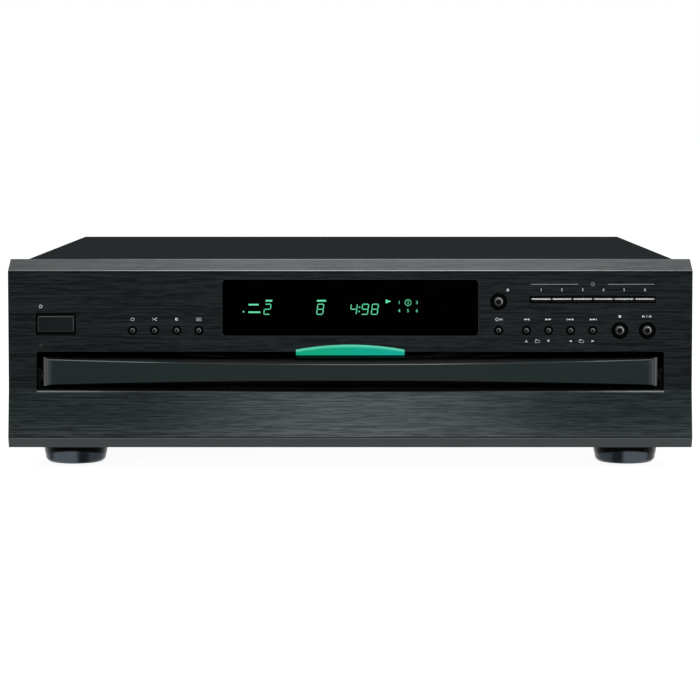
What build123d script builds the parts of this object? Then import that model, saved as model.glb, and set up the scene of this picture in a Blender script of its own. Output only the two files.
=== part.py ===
from build123d import *
import os
from math import acos, atan2, cos, degrees, pi, radians, sin, sqrt, tan

# A full-size carousel disc changer: a front drawer carries a turning carousel with six disc
# pockets, and a pickup unit at the back lifts through the carousel to play the rear disc.
# Millimetres. X is to the right, Y to the back and Z up. The origin is at the middle of the
# outer box, on the floor. The drawer is shut and the pickup unit is down.

# Carousel and its pockets
POCKETS = 6
POCKET_R = 60.75
POCKET_GAP = 3.5
POCKET_DEPTH = 4.4
SMALL_POCKET_R = 40.5
SMALL_POCKET_DEPTH = 1.8
CAROUSEL_RIM = 2.25
CAROUSEL_T = 8.4
PICKUP_WAY = 42.0
HUB_R = 12.0
POST_R = 6.0
CAP_R = 27.0
CAP_H = 2.2
WEB_T = 2.0
WEB_RIM = 3.0
RING_W = 8.0

# Heights of the casing, from the floor up
FOOT_H = 14.1
LOWER_H = 37.4
UPPER_H = 82.0

# Casing
SIDE_MARGIN = 17.9
LOWER_LEAN = 4.5
STRIP_H = 6.5
STRIP_SETBACK = 3.0
FASCIA_T = 3.0
BEVEL_DROP = 7.0
BEVEL_DEPTH = 14.0
BASE_T = 2.5
END_WALL = 3.0
COVER_INSET = 2.5
COVER_STEP = 2.3
COVER_T = 1.0
COVER_BEND_R = 4.0
COVER_SKIRT = 2.5
CHASSIS_T = 1.2
CHASSIS_FLANGE = 13.0
REAR_T = 1.0
REAR_ROOM = 94.0
FRONT_ROOM = 10.0
FOOT_R = 21.1
FOOT_TAPER = 1.5
FOOT_INSET_X = 38.0
FOOT_INSET_FRONT = 43.0
FOOT_INSET_REAR = 36.0
FOOT_EDGE_R = 3.8
FOOT_WELL = 0.5
FOOT_WELL_R = 5.0
SCREW_HOLE_R = 1.6

# Drawer slot and drawer
SLOT_H = 23.6
SLOT_CORNER_R = 1.5
SILL_CHAMFER = 1.5
SILL_GAP = 1.9
DRAWER_TRAVEL = 250.0
TRAY_FLOOR = 1.8
TRAY_WALL = 2.0
TRAY_SIDE = 5.4
TRAY_LIP = 0.5
RECESS_GAP = 1.6
CAROUSEL_GAP = 6.2
RUNNER_OUT = 3.0
RUNNER_H = 2.4
RUNNER_RISE = 4.4
ARM_W = 12.0
TRAY_REACH = 113.0
ARM_REACH = 53.0
WELL_HALF = 62.0
WELL_REACH = 28.0
DRAWER_FRONT_CROWN = 3.0
DRAWER_FRONT_PROUD = 2.5
DRAWER_FRONT_T = 9.0
DRAWER_FRONT_H = 18.3
DRAWER_FRONT_FACE_H = 16.3
DRAWER_FRONT_R = 5.0

# Window, lens and buttons in the front
WINDOW_W = 162.9
WINDOW_H = 35.9
WINDOW_R = 2.5
WINDOW_RISE = 51.7
WINDOW_T = 2.6
WINDOW_FLANGE = 1.5
LENS_W = 69.0
LENS_DROP = 2.2
LENS_END_RISE = 1.2
LENS_ARCH = 3.2
LENS_PROUD = 0.6
LENS_L = 11.0
STANDBY_INSET = 30.3
STANDBY_RISE = 41.4
STANDBY_W = 23.0
STANDBY_H = 10.0
STANDBY_RECESS_W = 25.6
STANDBY_RECESS_H = 14.2
SMALL_BUTTON_R = 2.75
LARGE_BUTTON_R = 5.2
BUTTON_RING = 0.25
BUTTON_PROUD = 1.3
BUTTON_DOME = 0.58
BUTTON_WELL = 0.6
BUTTON_TRAVEL = 0.8
ROW_RISE = 37.2
LEFT_GROUP_GAP = 14.9
RIGHT_GROUP_GAP = 12.85
BUTTON_PITCH = 14.05
SEARCH_STEP = 17.7
STOP_STEP = 77.1
PLAY_STEP = 94.6
EJECT_RISE = 55.5
SELECT_STEP = 27.0
SELECT_PITCH = 13.18
SELECT_RISE = 56.9
SELECT_W = 12.4
SELECT_H = 2.8
SELECT_SLOT_H = 4.8
STEM_R = 1.6
SWITCH_W = 6.0

# Pickup unit and its lift
LIFT_ARM = 95.0
LIFT_REACH = 79.0
LIFT_ANGLE = 7.0
PIVOT_DROP = 7.6
PIVOT_R = 3.0
LIFT_HALF = 72.0
LIFT_BAR = 6.0
DISC_LIFT = 3.0
TURNTABLE_R = 14.5
SPINDLE_R = 7.4
SLED_TRAVEL = 34.0
SLED_INNER = 23.0
SLED_LEN = 19.5
ROD_R = 1.5
SCREW_R = 1.6
CAM_TRAVEL = 36.0
CAM_T = 3.0
CAM_PIN_R = 2.0
CAM_PIN_X = 45.0
CAM_RACK_RISE = 21.0
ROD_X = 27.0
SCREW_X = 36.0
SLED_MOTOR_R = 7.0
DAMPER_X = 53.0
DAMPER_R = 4.5
DAMPER_H = 2.2

# Gear trains: tooth counts and modules
RING_TEETH = 96
IDLER_PINION_TEETH = 10
IDLER_TEETH = 48
MOTOR_PINION_TEETH = 10
RACK_MODULE = 2.0
FINE_MODULE = 1.0
RACK_PINION_TEETH = 10
RACK_WHEEL_TEETH = 44
PULLEY_PINION_TEETH = 10
PULLEY_R = 15.0
MOTOR_PULLEY_R = 4.0
BELT_T = 1.2
LIFT_PINION_TEETH = 14
LIFT_WHEEL_TEETH = 34
LIFT_MOTOR_TEETH = 10
MOTOR_R = 12.0
MOTOR_L = 22.0
SHAFT_R = 1.0
IDLER_ANGLE = 35.0
MOTOR_ANGLE = 75.0
IDLER_POST_R = 2.0

# Teeth, in modules: height above and depth below the pitch line, half width on it, slope
TOOTH_TOP = 0.8
TOOTH_ROOT = 1.1
TOOTH_HALF = 0.66
TOOTH_SLOPE = 0.36

# Drawer drive, frame, bridge and clamper
RACK_X = 96.0
RACK_H = 4.7
RACK_AXLE_R = 2.5
DRIVE_SETBACK = 46.0
DECK_RISE = 28.0
DECK_T = 2.0
DECK_REACH = 107.0
BELT_REACH = 40.0
RAIL_T = 2.5
RAIL_H = 48.0
BRIDGE_T = 2.0
BRIDGE_HALF = 24.0
CLAMP_R = 15.5

# Electronics and sockets at the back
JACK_STANDOUT = 9.5
JACK_R = 4.15
JACK_HOLE_R = 1.6
MINI_JACK_R = 1.8
SOCKET_ROW_RISE = 21.0
JACK_INSET = 67.5
JACK_PITCH = 15.0
INLET_INSET = 49.5
INLET_PIN_R = 1.2
INLET_PIN_PITCH = 8.6
BOARD_T = 1.6
TRANSFORMER_W = 56.0
TRANSFORMER_D = 50.0
TRANSFORMER_H = 46.0

# Clearances
RUN = 0.05
GAP = 0.3
FIT = 0.15
SHEET = 0.1

# Levels and places that follow from the sizes above
pocket_pitch_r = (2 * POCKET_R + POCKET_GAP) / (2 * sin(pi / POCKETS))
carousel_r = pocket_pitch_r + POCKET_R + CAROUSEL_RIM
recess_r = carousel_r + RECESS_GAP
tray_half = recess_r + TRAY_SIDE
slot_half = tray_half + RUNNER_OUT + RECESS_GAP
half_width = slot_half + SIDE_MARGIN
cam_rack_z = FOOT_H + CAM_RACK_RISE
socket_z = FOOT_H + SOCKET_ROW_RISE
standby_x = -(half_width - STANDBY_INSET)
left_buttons_x = -(WINDOW_W / 2 + LEFT_GROUP_GAP + 3 * BUTTON_PITCH)
skip_x = WINDOW_W / 2 + RIGHT_GROUP_GAP
search_x = skip_x + SEARCH_STEP
select_x = skip_x + SELECT_STEP
inlet_x = -(half_width - INLET_INSET)
jack_x = half_width - JACK_INSET
depth = LOWER_LEAN + FRONT_ROOM + carousel_r + pocket_pitch_r + REAR_ROOM + JACK_STANDOUT

seam_z = FOOT_H + LOWER_H
top_z = seam_z + UPPER_H
slot_top = seam_z + SLOT_H
tray_z = seam_z + SILL_GAP
floor_top = tray_z + TRAY_FLOOR
carousel_z = floor_top + CAROUSEL_GAP
carousel_top = carousel_z + CAROUSEL_T
pocket_z = carousel_top - POCKET_DEPTH
tray_top = carousel_top - TRAY_LIP
runner_z = tray_z + RUNNER_RISE
chassis_top = FOOT_H + CHASSIS_T

front_y = -depth / 2
face_y = front_y + LOWER_LEAN
fascia_back = face_y + FASCIA_T
base_back = fascia_back + BASE_T
carousel_y = face_y + FRONT_ROOM + carousel_r
play_y = carousel_y + pocket_pitch_r
rear_y = play_y + REAR_ROOM
cover_front = face_y + BEVEL_DEPTH + GAP
cover_half = half_width - COVER_INSET
cover_top = top_z - COVER_STEP
chassis_half = cover_half - COVER_T - 2 * SHEET
chassis_rear = rear_y - REAR_T - SHEET
jack_back = chassis_rear - CHASSIS_T - SHEET

ring_r = RING_TEETH * RACK_MODULE / 2
ring_z = carousel_z - 2.8
rack_pinion_r = RACK_PINION_TEETH * RACK_MODULE / 2
rack_wheel_r = RACK_WHEEL_TEETH * FINE_MODULE / 2
idler_pinion_r = IDLER_PINION_TEETH * RACK_MODULE / 2
idler_r = IDLER_TEETH * FINE_MODULE / 2
motor_pinion_r = MOTOR_PINION_TEETH * FINE_MODULE / 2
pulley_pinion_r = PULLEY_PINION_TEETH * FINE_MODULE / 2
lift_pinion_r = LIFT_PINION_TEETH * FINE_MODULE / 2
lift_wheel_r = LIFT_WHEEL_TEETH * FINE_MODULE / 2
lift_motor_r = LIFT_MOTOR_TEETH * FINE_MODULE / 2


# Shapes that the pieces are made of


def block(x0, x1, y0, y1, z0, z1):
    return Pos((x0 + x1) / 2, (y0 + y1) / 2, (z0 + z1) / 2) * Box(x1 - x0, y1 - y0, z1 - z0)


def post_x(y, z, x0, x1, r):
    return Pos((x0 + x1) / 2, y, z) * Rot(0, 90, 0) * Cylinder(r, x1 - x0)


def post_y(x, z, y0, y1, r):
    return Pos(x, (y0 + y1) / 2, z) * Rot(90, 0, 0) * Cylinder(r, y1 - y0)


def post_z(x, y, z0, z1, r):
    return Pos(x, y, (z0 + z1) / 2) * Cylinder(r, z1 - z0)


def outline(points):
    return make_face(Polyline(*points, close=True))


def prism_x(points, x0, x1):
    """A solid along X from an outline of (y, z) points."""
    return extrude(Plane.YZ.offset(x0) * outline(points), x1 - x0)


def prism_y(points, y0, y1):
    """A solid along Y from an outline of (x, z) points."""
    return extrude(Plane.XZ.offset(-y1) * outline(points), y1 - y0)


def prism_z(points, z0, z1):
    """A solid along Z from an outline of (x, y) points."""
    return extrude(Plane.XY.offset(z0) * outline(points), z1 - z0)


def slab_y(x0, x1, z0, z1, y0, y1, r):
    """A plate or opening in the front, with its corners rounded as seen along Y."""
    shape = RectangleRounded(x1 - x0, z1 - z0, r)
    return Pos((x0 + x1) / 2, y1, (z0 + z1) / 2) * Rot(90, 0, 0) * extrude(shape, y1 - y0)


def turned(points, x=0.0, y=0.0):
    """A turned solid about a vertical axis, from (radius, z) points."""
    return Pos(x, y, 0) * revolve(Plane.XZ * outline(points), Axis.Z)


def polar(centre, r, angle):
    return (centre[0] + r * cos(radians(angle)), centre[1] + r * sin(radians(angle)))


def tooth_halves():
    """Half widths of a tooth at its tip and its root, in modules."""
    return TOOTH_HALF - TOOTH_TOP * TOOTH_SLOPE, TOOTH_HALF + TOOTH_ROOT * TOOTH_SLOPE


def gear(teeth, module, z0, z1, phase=0.0):
    """A toothed wheel on the vertical axis, with one tooth at the angle phase."""
    r = teeth * module / 2
    tip, root = tooth_halves()
    tip_r = r + TOOTH_TOP * module
    root_r = r - TOOTH_ROOT * module
    points = []
    for tooth in range(teeth):
        angle = phase + 360 * tooth / teeth
        tip_half = degrees(tip * module / tip_r)
        root_half = degrees(root * module / root_r)
        points.append(polar((0, 0), root_r, angle - root_half))
        points.append(polar((0, 0), tip_r, angle - tip_half))
        points.append(polar((0, 0), tip_r, angle + tip_half))
        points.append(polar((0, 0), root_r, angle + root_half))
    return prism_z(points, z0, z1)


def rack_points(count, module, first):
    """Points of a straight rack along its length: (along, height), teeth upward from 0."""
    tip, root = tooth_halves()
    points = []
    for tooth in range(count):
        middle = first + tooth * pi * module
        points.append((middle - root * module, -TOOTH_ROOT * module))
        points.append((middle - tip * module, TOOTH_TOP * module))
        points.append((middle + tip * module, TOOTH_TOP * module))
        points.append((middle + root * module, -TOOTH_ROOT * module))
    return points


def heading(start, end):
    return degrees(atan2(end[1] - start[1], end[0] - start[0]))


def meshed_phase(teeth, toward):
    """The phase that puts a gap between teeth at the angle toward."""
    return toward + 180 / teeth


def dc_motor(z0, z1, x, y):
    """A small can motor with two flats; its shaft leaves at the top."""
    can = post_z(x, y, z0, z1, MOTOR_R)
    flat = block(x - MOTOR_R, x + MOTOR_R, y - MOTOR_R * 0.8, y + MOTOR_R * 0.8, z0, z1)
    return can & flat


# Front panel

bevel_slope = BEVEL_DROP / BEVEL_DEPTH
bevel_reach = FASCIA_T * sqrt(1 + bevel_slope**2)
bevel_z = top_z - BEVEL_DROP
inner_bevel_z = bevel_z + bevel_slope * FASCIA_T - bevel_reach
rim_y = face_y + BEVEL_DEPTH
strip_z = FOOT_H + STRIP_H
window_z = seam_z + WINDOW_RISE
standby_z = seam_z + STANDBY_RISE
row_z = seam_z + ROW_RISE
select_z = seam_z + SELECT_RISE
lens_base = slot_top - LENS_DROP

flange_front = base_back + SHEET
flange_back = flange_front + 1.0
stem_end = flange_back + 4.0
switch_front = stem_end + BUTTON_TRAVEL + SHEET
switch_back = switch_front + 3.6

ROUND_BUTTONS = {
    "repeat_button": (left_buttons_x, row_z, SMALL_BUTTON_R),
    "random_button": (left_buttons_x + BUTTON_PITCH, row_z, SMALL_BUTTON_R),
    "dimmer_button": (left_buttons_x + 2 * BUTTON_PITCH, row_z, SMALL_BUTTON_R),
    "display_button": (left_buttons_x + 3 * BUTTON_PITCH, row_z, SMALL_BUTTON_R),
    "disc_skip_button": (skip_x, row_z, SMALL_BUTTON_R),
    "search_back_button": (search_x, row_z, SMALL_BUTTON_R),
    "search_on_button": (search_x + BUTTON_PITCH, row_z, SMALL_BUTTON_R),
    "track_back_button": (search_x + 2 * BUTTON_PITCH, row_z, SMALL_BUTTON_R),
    "track_on_button": (search_x + 3 * BUTTON_PITCH, row_z, SMALL_BUTTON_R),
    "eject_button": (skip_x, seam_z + EJECT_RISE, LARGE_BUTTON_R),
    "stop_button": (skip_x + STOP_STEP, row_z, LARGE_BUTTON_R),
    "play_button": (skip_x + PLAY_STEP, row_z, LARGE_BUTTON_R),
}
SELECT_BUTTONS = {f"select_{n + 1}_button": select_x + n * SELECT_PITCH for n in range(POCKETS)}


def lens_solid(y0, y1, grow=0.0):
    """The arched light guide over the slot, or its opening when grown."""
    half = LENS_W / 2 + grow
    low = lens_base - grow
    end_z = slot_top + LENS_END_RISE + grow
    crown = end_z + LENS_ARCH
    arch = ThreePointArc((-half, end_z), (0, crown), (half, end_z))
    sides = Polyline((half, end_z), (half, low), (-half, low), (-half, end_z))
    face = make_face([arch, *sides.edges()])
    return extrude(Plane.XZ.offset(-y1) * face, y1 - y0)


def window_slab(y0, y1, grow=0.0):
    half_w = WINDOW_W / 2 + grow
    half_h = WINDOW_H / 2 + grow
    r = WINDOW_R + grow
    return slab_y(-half_w, half_w, window_z - half_h, window_z + half_h, y0, y1, r)


def select_slot(y0, y1, grow=0.0):
    x0 = select_x - SELECT_PITCH / 2 - 0.7 - grow
    x1 = select_x + (POCKETS - 0.5) * SELECT_PITCH + 0.7 + grow
    half = SELECT_SLOT_H / 2 + grow
    return slab_y(x0, x1, select_z - half, select_z + half, y0, y1, 0.8)


def centred_slab(x, z, w, h, y0, y1, r):
    return slab_y(x - w / 2, x + w / 2, z - h / 2, z + h / 2, y0, y1, r)


def front_fascia():
    profile = [
        (face_y, seam_z),
        (face_y, bevel_z),
        (rim_y, top_z),
        (rim_y, top_z - bevel_reach),
        (fascia_back, inner_bevel_z),
        (fascia_back, seam_z),
    ]
    body = prism_x(profile, -half_width, half_width)
    y0, y1 = face_y - 1, fascia_back + 1
    body -= slab_y(-slot_half, slot_half, seam_z - 2 * SLOT_CORNER_R, slot_top, y0, y1, SLOT_CORNER_R)
    body -= lens_solid(y0, y1, FIT)
    body -= window_slab(y0, y1, FIT)
    body -= select_slot(y0, y1)
    body -= centred_slab(standby_x, standby_z, STANDBY_RECESS_W, STANDBY_RECESS_H, y0, y1, 1.0)
    for x, z, r in ROUND_BUTTONS.values():
        body -= post_y(x, z, y0, y1, r + BUTTON_RING)
    return body


def front_base():
    """The moulded front: the leaning lower face, the plate behind the fascia and the end caps."""
    foot_z = FOOT_H + SHEET
    outer = [
        (face_y, seam_z),
        (front_y, strip_z),
        (front_y + STRIP_SETBACK, foot_z),
        (rim_y, foot_z),
        (rim_y, seam_z),
    ]
    inner = [
        (face_y + BASE_T, seam_z - BASE_T),
        (front_y + BASE_T, strip_z),
        (front_y + STRIP_SETBACK + BASE_T, foot_z + BASE_T),
        (rim_y + 1, foot_z + BASE_T),
        (rim_y + 1, seam_z - BASE_T),
    ]
    plate_top = inner_bevel_z - SHEET
    inside = half_width - END_WALL
    body = prism_x(outer, -half_width, half_width) - prism_x(inner, -inside, inside)
    for rib in range(-3, 4):
        x = rib * inside / 4
        body += block(x - 1, x + 1, face_y, rim_y - 3, foot_z + 1, seam_z - 1)
    body += block(-inside, inside, fascia_back, base_back, seam_z, plate_top)
    body += block(-inside, inside, base_back, base_back + 5, plate_top - BASE_T, plate_top)
    end = [
        (fascia_back, seam_z),
        (fascia_back, inner_bevel_z),
        (rim_y, top_z - bevel_reach),
        (rim_y, seam_z),
    ]
    body += prism_x(end, inside, half_width)
    body += prism_x(end, -half_width, -inside)
    y0, y1 = fascia_back - 0.5, base_back + 0.5
    body -= block(-slot_half, slot_half, y0, y1, seam_z, slot_top)
    lip = SILL_CHAMFER + 1
    chamfer_cut = [(face_y + lip, seam_z + 1), (face_y - 1, seam_z + 1), (face_y - 1, seam_z - lip)]
    body -= prism_x(chamfer_cut, -slot_half, slot_half)
    body -= lens_solid(y0, y1, FIT)
    body -= window_slab(y0, y1, WINDOW_FLANGE + FIT)
    body -= centred_slab(standby_x, standby_z, STANDBY_W + 2 * FIT, STANDBY_H + 2 * FIT, y0, y1, 0.8)
    for x in SELECT_BUTTONS.values():
        body -= centred_slab(x, select_z, SELECT_W + 2 * FIT, SELECT_H + 2 * FIT, y0, y1, 0.4)
    for x, z, r in ROUND_BUTTONS.values():
        body -= post_y(x, z, y0, y1, r + RUN)
    return body


def display_window():
    front = window_slab(face_y + GAP, fascia_back, 0)
    return front + window_slab(fascia_back, fascia_back + WINDOW_T - 1, WINDOW_FLANGE)


def slot_lens():
    return lens_solid(face_y - LENS_PROUD, face_y + LENS_L)


def round_button(x, z, r):
    """A cap with a raised dome in its sunk rim, a keeper flange behind the panel and a stem."""
    tip = BUTTON_PROUD - face_y
    sunk = -BUTTON_WELL - face_y
    dome_r = r * BUTTON_DOME
    low = tip - dome_r * 0.55
    crown = ThreePointArc((0, tip), (dome_r * 0.4, tip - dome_r * 0.04), (dome_r * 0.75, tip - dome_r * 0.16))
    shoulder = ThreePointArc((dome_r * 0.75, tip - dome_r * 0.16), (dome_r * 0.93, tip - dome_r * 0.3), (dome_r, low))
    side = Polyline(
        (dome_r, low),
        (dome_r, sunk),
        (r - 0.1, sunk),
        (r, sunk - 0.1),
        (r, -flange_front),
        (r + 1, -flange_front),
        (r + 1, -flange_back),
        (STEM_R, -flange_back),
        (STEM_R, -stem_end),
        (0, -stem_end),
        (0, tip),
    )
    face = make_face([crown, shoulder, *side.edges()])
    return Pos(x, 0, z) * Rot(90, 0, 0) * revolve(Plane.XZ * face, Axis.Z)


def bar_button(x, z, w, h, proud, edge):
    """A flat bar cap with a keeper flange and a stem."""
    cap = centred_slab(x, z, w, h, face_y - proud, flange_front, edge + 0.05)
    front = cap.faces().sort_by(Axis.Y)[0]
    cap = chamfer(front.edges(), edge)
    cap += centred_slab(x, z, w + 0.6, h + 2.4, flange_front, flange_back, 0.35)
    return cap + post_y(x, z, flange_back, stem_end, STEM_R)


def display_tube():
    """The display's glass tube on its foam block."""
    half_w = WINDOW_W / 2 - 14
    half_h = WINDOW_H / 2 - 2.5
    back = switch_back - 2
    tube = centred_slab(0, window_z, 2 * half_w, 2 * half_h, back - 5, back, 1.5)
    foam = centred_slab(0, window_z, 2 * half_w - 10, 2 * half_h - 8, back, switch_back, 1.0)
    tip = post_y(half_w - 8, window_z + half_h - 4, back, back + 1.4, 1.5)
    return tube + foam + tip


def control_board():
    """The board behind the front: a push switch behind each button, and the display tube."""
    y0, y1 = switch_back, switch_back + BOARD_T
    bottom = slot_top + 6
    board = block(-half_width + 9, half_width - 9, y0, y1, bottom, inner_bevel_z - 6)
    places = [place[:2] for place in ROUND_BUTTONS.values()]
    places += [(x, select_z) for x in SELECT_BUTTONS.values()]
    places += [(standby_x, standby_z)]
    half = SWITCH_W / 2
    for x, z in places:
        board += block(x - half, x + half, switch_front + 0.6, y0, z - half, z + half)
        board += post_y(x, z, switch_front, switch_front + 0.6, 1.2)
    for x in (-20, 0, 20):
        board += block(x - 2, x + 2, y0 - 2, y0, bottom, bottom + 2.5)
    for x in (-half_width + 16, -90, 90, half_width - 16):
        board += post_y(x, bottom + 3, base_back, y0, 2.5)
    return [board, display_tube()]


# Casing


def cover_section(inset, skirt_z):
    """The outline of the wrapped cover as seen from the front, inset from its outside."""
    half = cover_half - inset
    high = cover_top - inset
    bend = COVER_BEND_R - inset
    shape = outline([(-half, skirt_z), (-half, high), (half, high), (half, skirt_z)])
    top = shape.vertices().group_by(Axis.Y)[-1]
    return fillet(top, bend)


def top_cover():
    skirt_z = FOOT_H + COVER_SKIRT
    length = rear_y - cover_front
    outer = extrude(Plane.XZ.offset(-rear_y) * cover_section(0, skirt_z), length)
    inner = extrude(Plane.XZ.offset(-rear_y - 1) * cover_section(COVER_T, skirt_z - 1), length + 2)
    body = outer - inner
    for x, y, z in cover_screws():
        body -= post_x(y, z, x - 4, x + 4, SCREW_HOLE_R)
    return body


def cover_screws():
    places = []
    z = FOOT_H + 7.5
    for y in (cover_front + 62, rear_y - 62):
        places.append((cover_half, y, z))
        places.append((-cover_half, y, z))
    return places


def rear_screws():
    half = chassis_half
    return [(x, rear_y, chassis_top + 3.5) for x in (-half + 12, -half / 3, half / 3, half - 12)]


def foot_places():
    x = half_width - FOOT_INSET_X
    front = face_y + FOOT_INSET_FRONT
    rear = rear_y - FOOT_INSET_REAR
    return [(-x, front), (x, front), (-x, rear), (x, rear)]


def bottom_chassis():
    y0, y1 = rim_y + SHEET, chassis_rear
    half = chassis_half
    t = CHASSIS_T
    body = block(-half, half, y0, y1, FOOT_H, chassis_top)
    side_top = FOOT_H + CHASSIS_FLANGE
    for side in (-1, 1):
        x0, x1 = sorted((side * half, side * (half - t)))
        body += block(x0, x1, y0, y1, FOOT_H, side_top)
    body += block(-half, half, y0, y0 + t, FOOT_H, side_top + 6)
    body += block(-half, half, y1 - t, y1, FOOT_H, side_top - 2)
    for y in (carousel_y - 60, carousel_y, carousel_y + 60):
        bead = [(y - 6, FOOT_H), (y - 4, chassis_top + 1.5), (y + 4, chassis_top + 1.5), (y + 6, FOOT_H)]
        hollow = [(y - 5, FOOT_H), (y - 3.3, FOOT_H + 1.5), (y + 3.3, FOOT_H + 1.5), (y + 5, FOOT_H)]
        body += prism_x(bead, -half + 45, half - 45)
        body -= prism_x(hollow, -half + 47, half - 47)
    for row in range(9):
        y = transformer_y() - 24 + row * 6
        body -= block(transformer_x() - 20, transformer_x() + 20, y, y + 2, FOOT_H - 1, chassis_top + 1)
    for x, y in foot_places():
        body -= post_z(x, y, FOOT_H - 1, chassis_top + 1, SCREW_HOLE_R)
    for x, y, z in cover_screws():
        body -= post_x(y, z, x - 5, x + 5, SCREW_HOLE_R)
    for x, y, z in rear_screws():
        body -= post_y(x, z, y - 6, y + 1, SCREW_HOLE_R)
    return body


def feet():
    """Four moulded feet, hollow below, each with a screw well."""
    r = FOOT_R - FOOT_TAPER
    e = FOOT_EDGE_R
    well = FOOT_H * FOOT_WELL
    arc = ThreePointArc((r - e, 0), (r - e * (1 - sin(pi / 4)), e * (1 - cos(pi / 4))), (r, e))
    side = ThreePointArc((r, e), (FOOT_R - 0.3, (e + FOOT_H) / 2 + 1), (FOOT_R, FOOT_H))
    bore = SCREW_HOLE_R + 0.1
    sole = [(bore, well), (FOOT_WELL_R, well), (FOOT_WELL_R, 0), (r - e, 0)]
    wall = Polyline((FOOT_R, FOOT_H), (bore, FOOT_H), *sole)
    section = make_face([arc, side, *wall.edges()])
    foot = revolve(Plane.XZ * section, Axis.Z)
    return [Pos(x, y, 0) * foot for x, y in foot_places()]


def screw(length):
    """A pan-head screw, its head on top of the plane Z = 0 and its shank below."""
    head = Cylinder(3.0, 1.8, align=(Align.CENTER, Align.CENTER, Align.MIN))
    shank = Cylinder(1.5, length, align=(Align.CENTER, Align.CENTER, Align.MAX))
    slot = Box(4.2, 0.9, 1.6, align=(Align.CENTER, Align.CENTER, Align.MIN))
    cross = slot + Rot(0, 0, 90) * slot
    return head + shank - Pos(0, 0, 0.8) * cross


def case_screws():
    solids = []
    for x, y, z in cover_screws():
        turn = 90 if x > 0 else -90
        solids.append(Pos(x, y, z) * Rot(0, turn, 0) * screw(6))
    for x, y, z in rear_screws():
        solids.append(Pos(x, y, z) * Rot(-90, 0, 0) * screw(5))
    for x, y in foot_places():
        solids.append(Pos(x, y, FOOT_H * FOOT_WELL) * Rot(180, 0, 0) * screw(FOOT_H * (1 - FOOT_WELL) + 1.7))
    return solids


def jack_places():
    """The round sockets on the rear: name, X, and whether it is a full-size pin jack."""
    left = jack_x
    return [
        ("right_out", left, True),
        ("left_out", left - JACK_PITCH, True),
        ("coaxial_out", left - 2.2 * JACK_PITCH, True),
        ("remote_in", left + JACK_PITCH, False),
        ("remote_out", left + 1.7 * JACK_PITCH, False),
    ]


def optical_x():
    return jack_x - 3.2 * JACK_PITCH


def rear_panel():
    y0, y1 = rear_y - REAR_T, rear_y
    section = cover_section(COVER_T + 2 * SHEET, chassis_top)
    body = extrude(Plane.XZ.offset(-y1) * section, REAR_T)
    for _, x, full in jack_places():
        r = JACK_R + 1.2 if full else 3.2
        body -= post_y(x, socket_z, y0 - 1, y1 + 1, r)
    body -= centred_slab(optical_x(), socket_z, 10.6, 10.6, y0 - 1, y1 + 1, 0.5)
    body -= centred_slab(inlet_x, socket_z, 25, 15.4, y0 - 1, y1 + 1, 1.0)
    for x, _, z in rear_screws():
        body -= post_y(x, z, y0 - 1, y1 + 1, SCREW_HOLE_R)
    for column in range(12):
        x = 20 + column * 5
        body -= centred_slab(x, cover_top - 22, 2, 14, y0 - 1, y1 + 1, 0.9)
    return body


def rear_jacks():
    """The sound, digital and remote sockets, each with its own moulded body."""
    solids = []
    inner = chassis_rear
    tip = rear_y + JACK_STANDOUT
    z = socket_z
    for _, x, full in jack_places():
        if full:
            block_part = block(x - 6, x + 6, inner - 12, jack_back, board_top(), z + 7)
            collar = post_y(x, z, jack_back, rear_y + 1, JACK_R + 1)
            barrel = post_y(x, z, rear_y + 1, tip, JACK_R)
            hole = post_y(x, z, tip - 9, tip + 1, JACK_HOLE_R)
            solids.append(block_part + collar + barrel - hole)
        else:
            block_part = block(x - 5, x + 5, inner - 13, jack_back, board_top(), z + 5)
            collar = post_y(x, z, jack_back, rear_y + 2, 3.0)
            hole = post_y(x, z, rear_y - 10, rear_y + 3, MINI_JACK_R)
            solids.append(block_part + collar - hole)
    x = optical_x()
    optical = block(x - 5, x + 5, inner - 12, rear_y + 1.2, z - 5, z + 5)
    optical += block(x - 5, x + 5, inner - 12, jack_back, board_top(), z - 5)
    shutter = centred_slab(x, z, 6.5, 6.5, rear_y - 0.4, rear_y + 2, 1.2)
    solids.append(optical - shutter)
    return solids


def ac_inlet():
    """A two-pin figure-eight mains inlet: a shrouded recess with two pins."""
    inner = chassis_rear
    z = socket_z
    x = inlet_x
    body = centred_slab(x, z, 30, 19, rear_y, rear_y + 1.5, 2.0)
    body += centred_slab(x, z, 24.6, 15, inner - 16, rear_y, 1.0)
    half = INLET_PIN_PITCH / 2
    recess = centred_slab(x, z, INLET_PIN_PITCH + 9.2, 9.2, rear_y - 13, rear_y + 3, 4.5)
    body -= recess
    for side in (-1, 1):
        body += post_y(x + side * half, z, rear_y - 14, rear_y - 1.5, INLET_PIN_R)
        body += block(x + side * 7 - 1.5, x + side * 7 + 1.5, inner - 21, inner - 16, z - 0.4, z + 0.4)
    return body


def board_top():
    return chassis_top + 6 + BOARD_T


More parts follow.
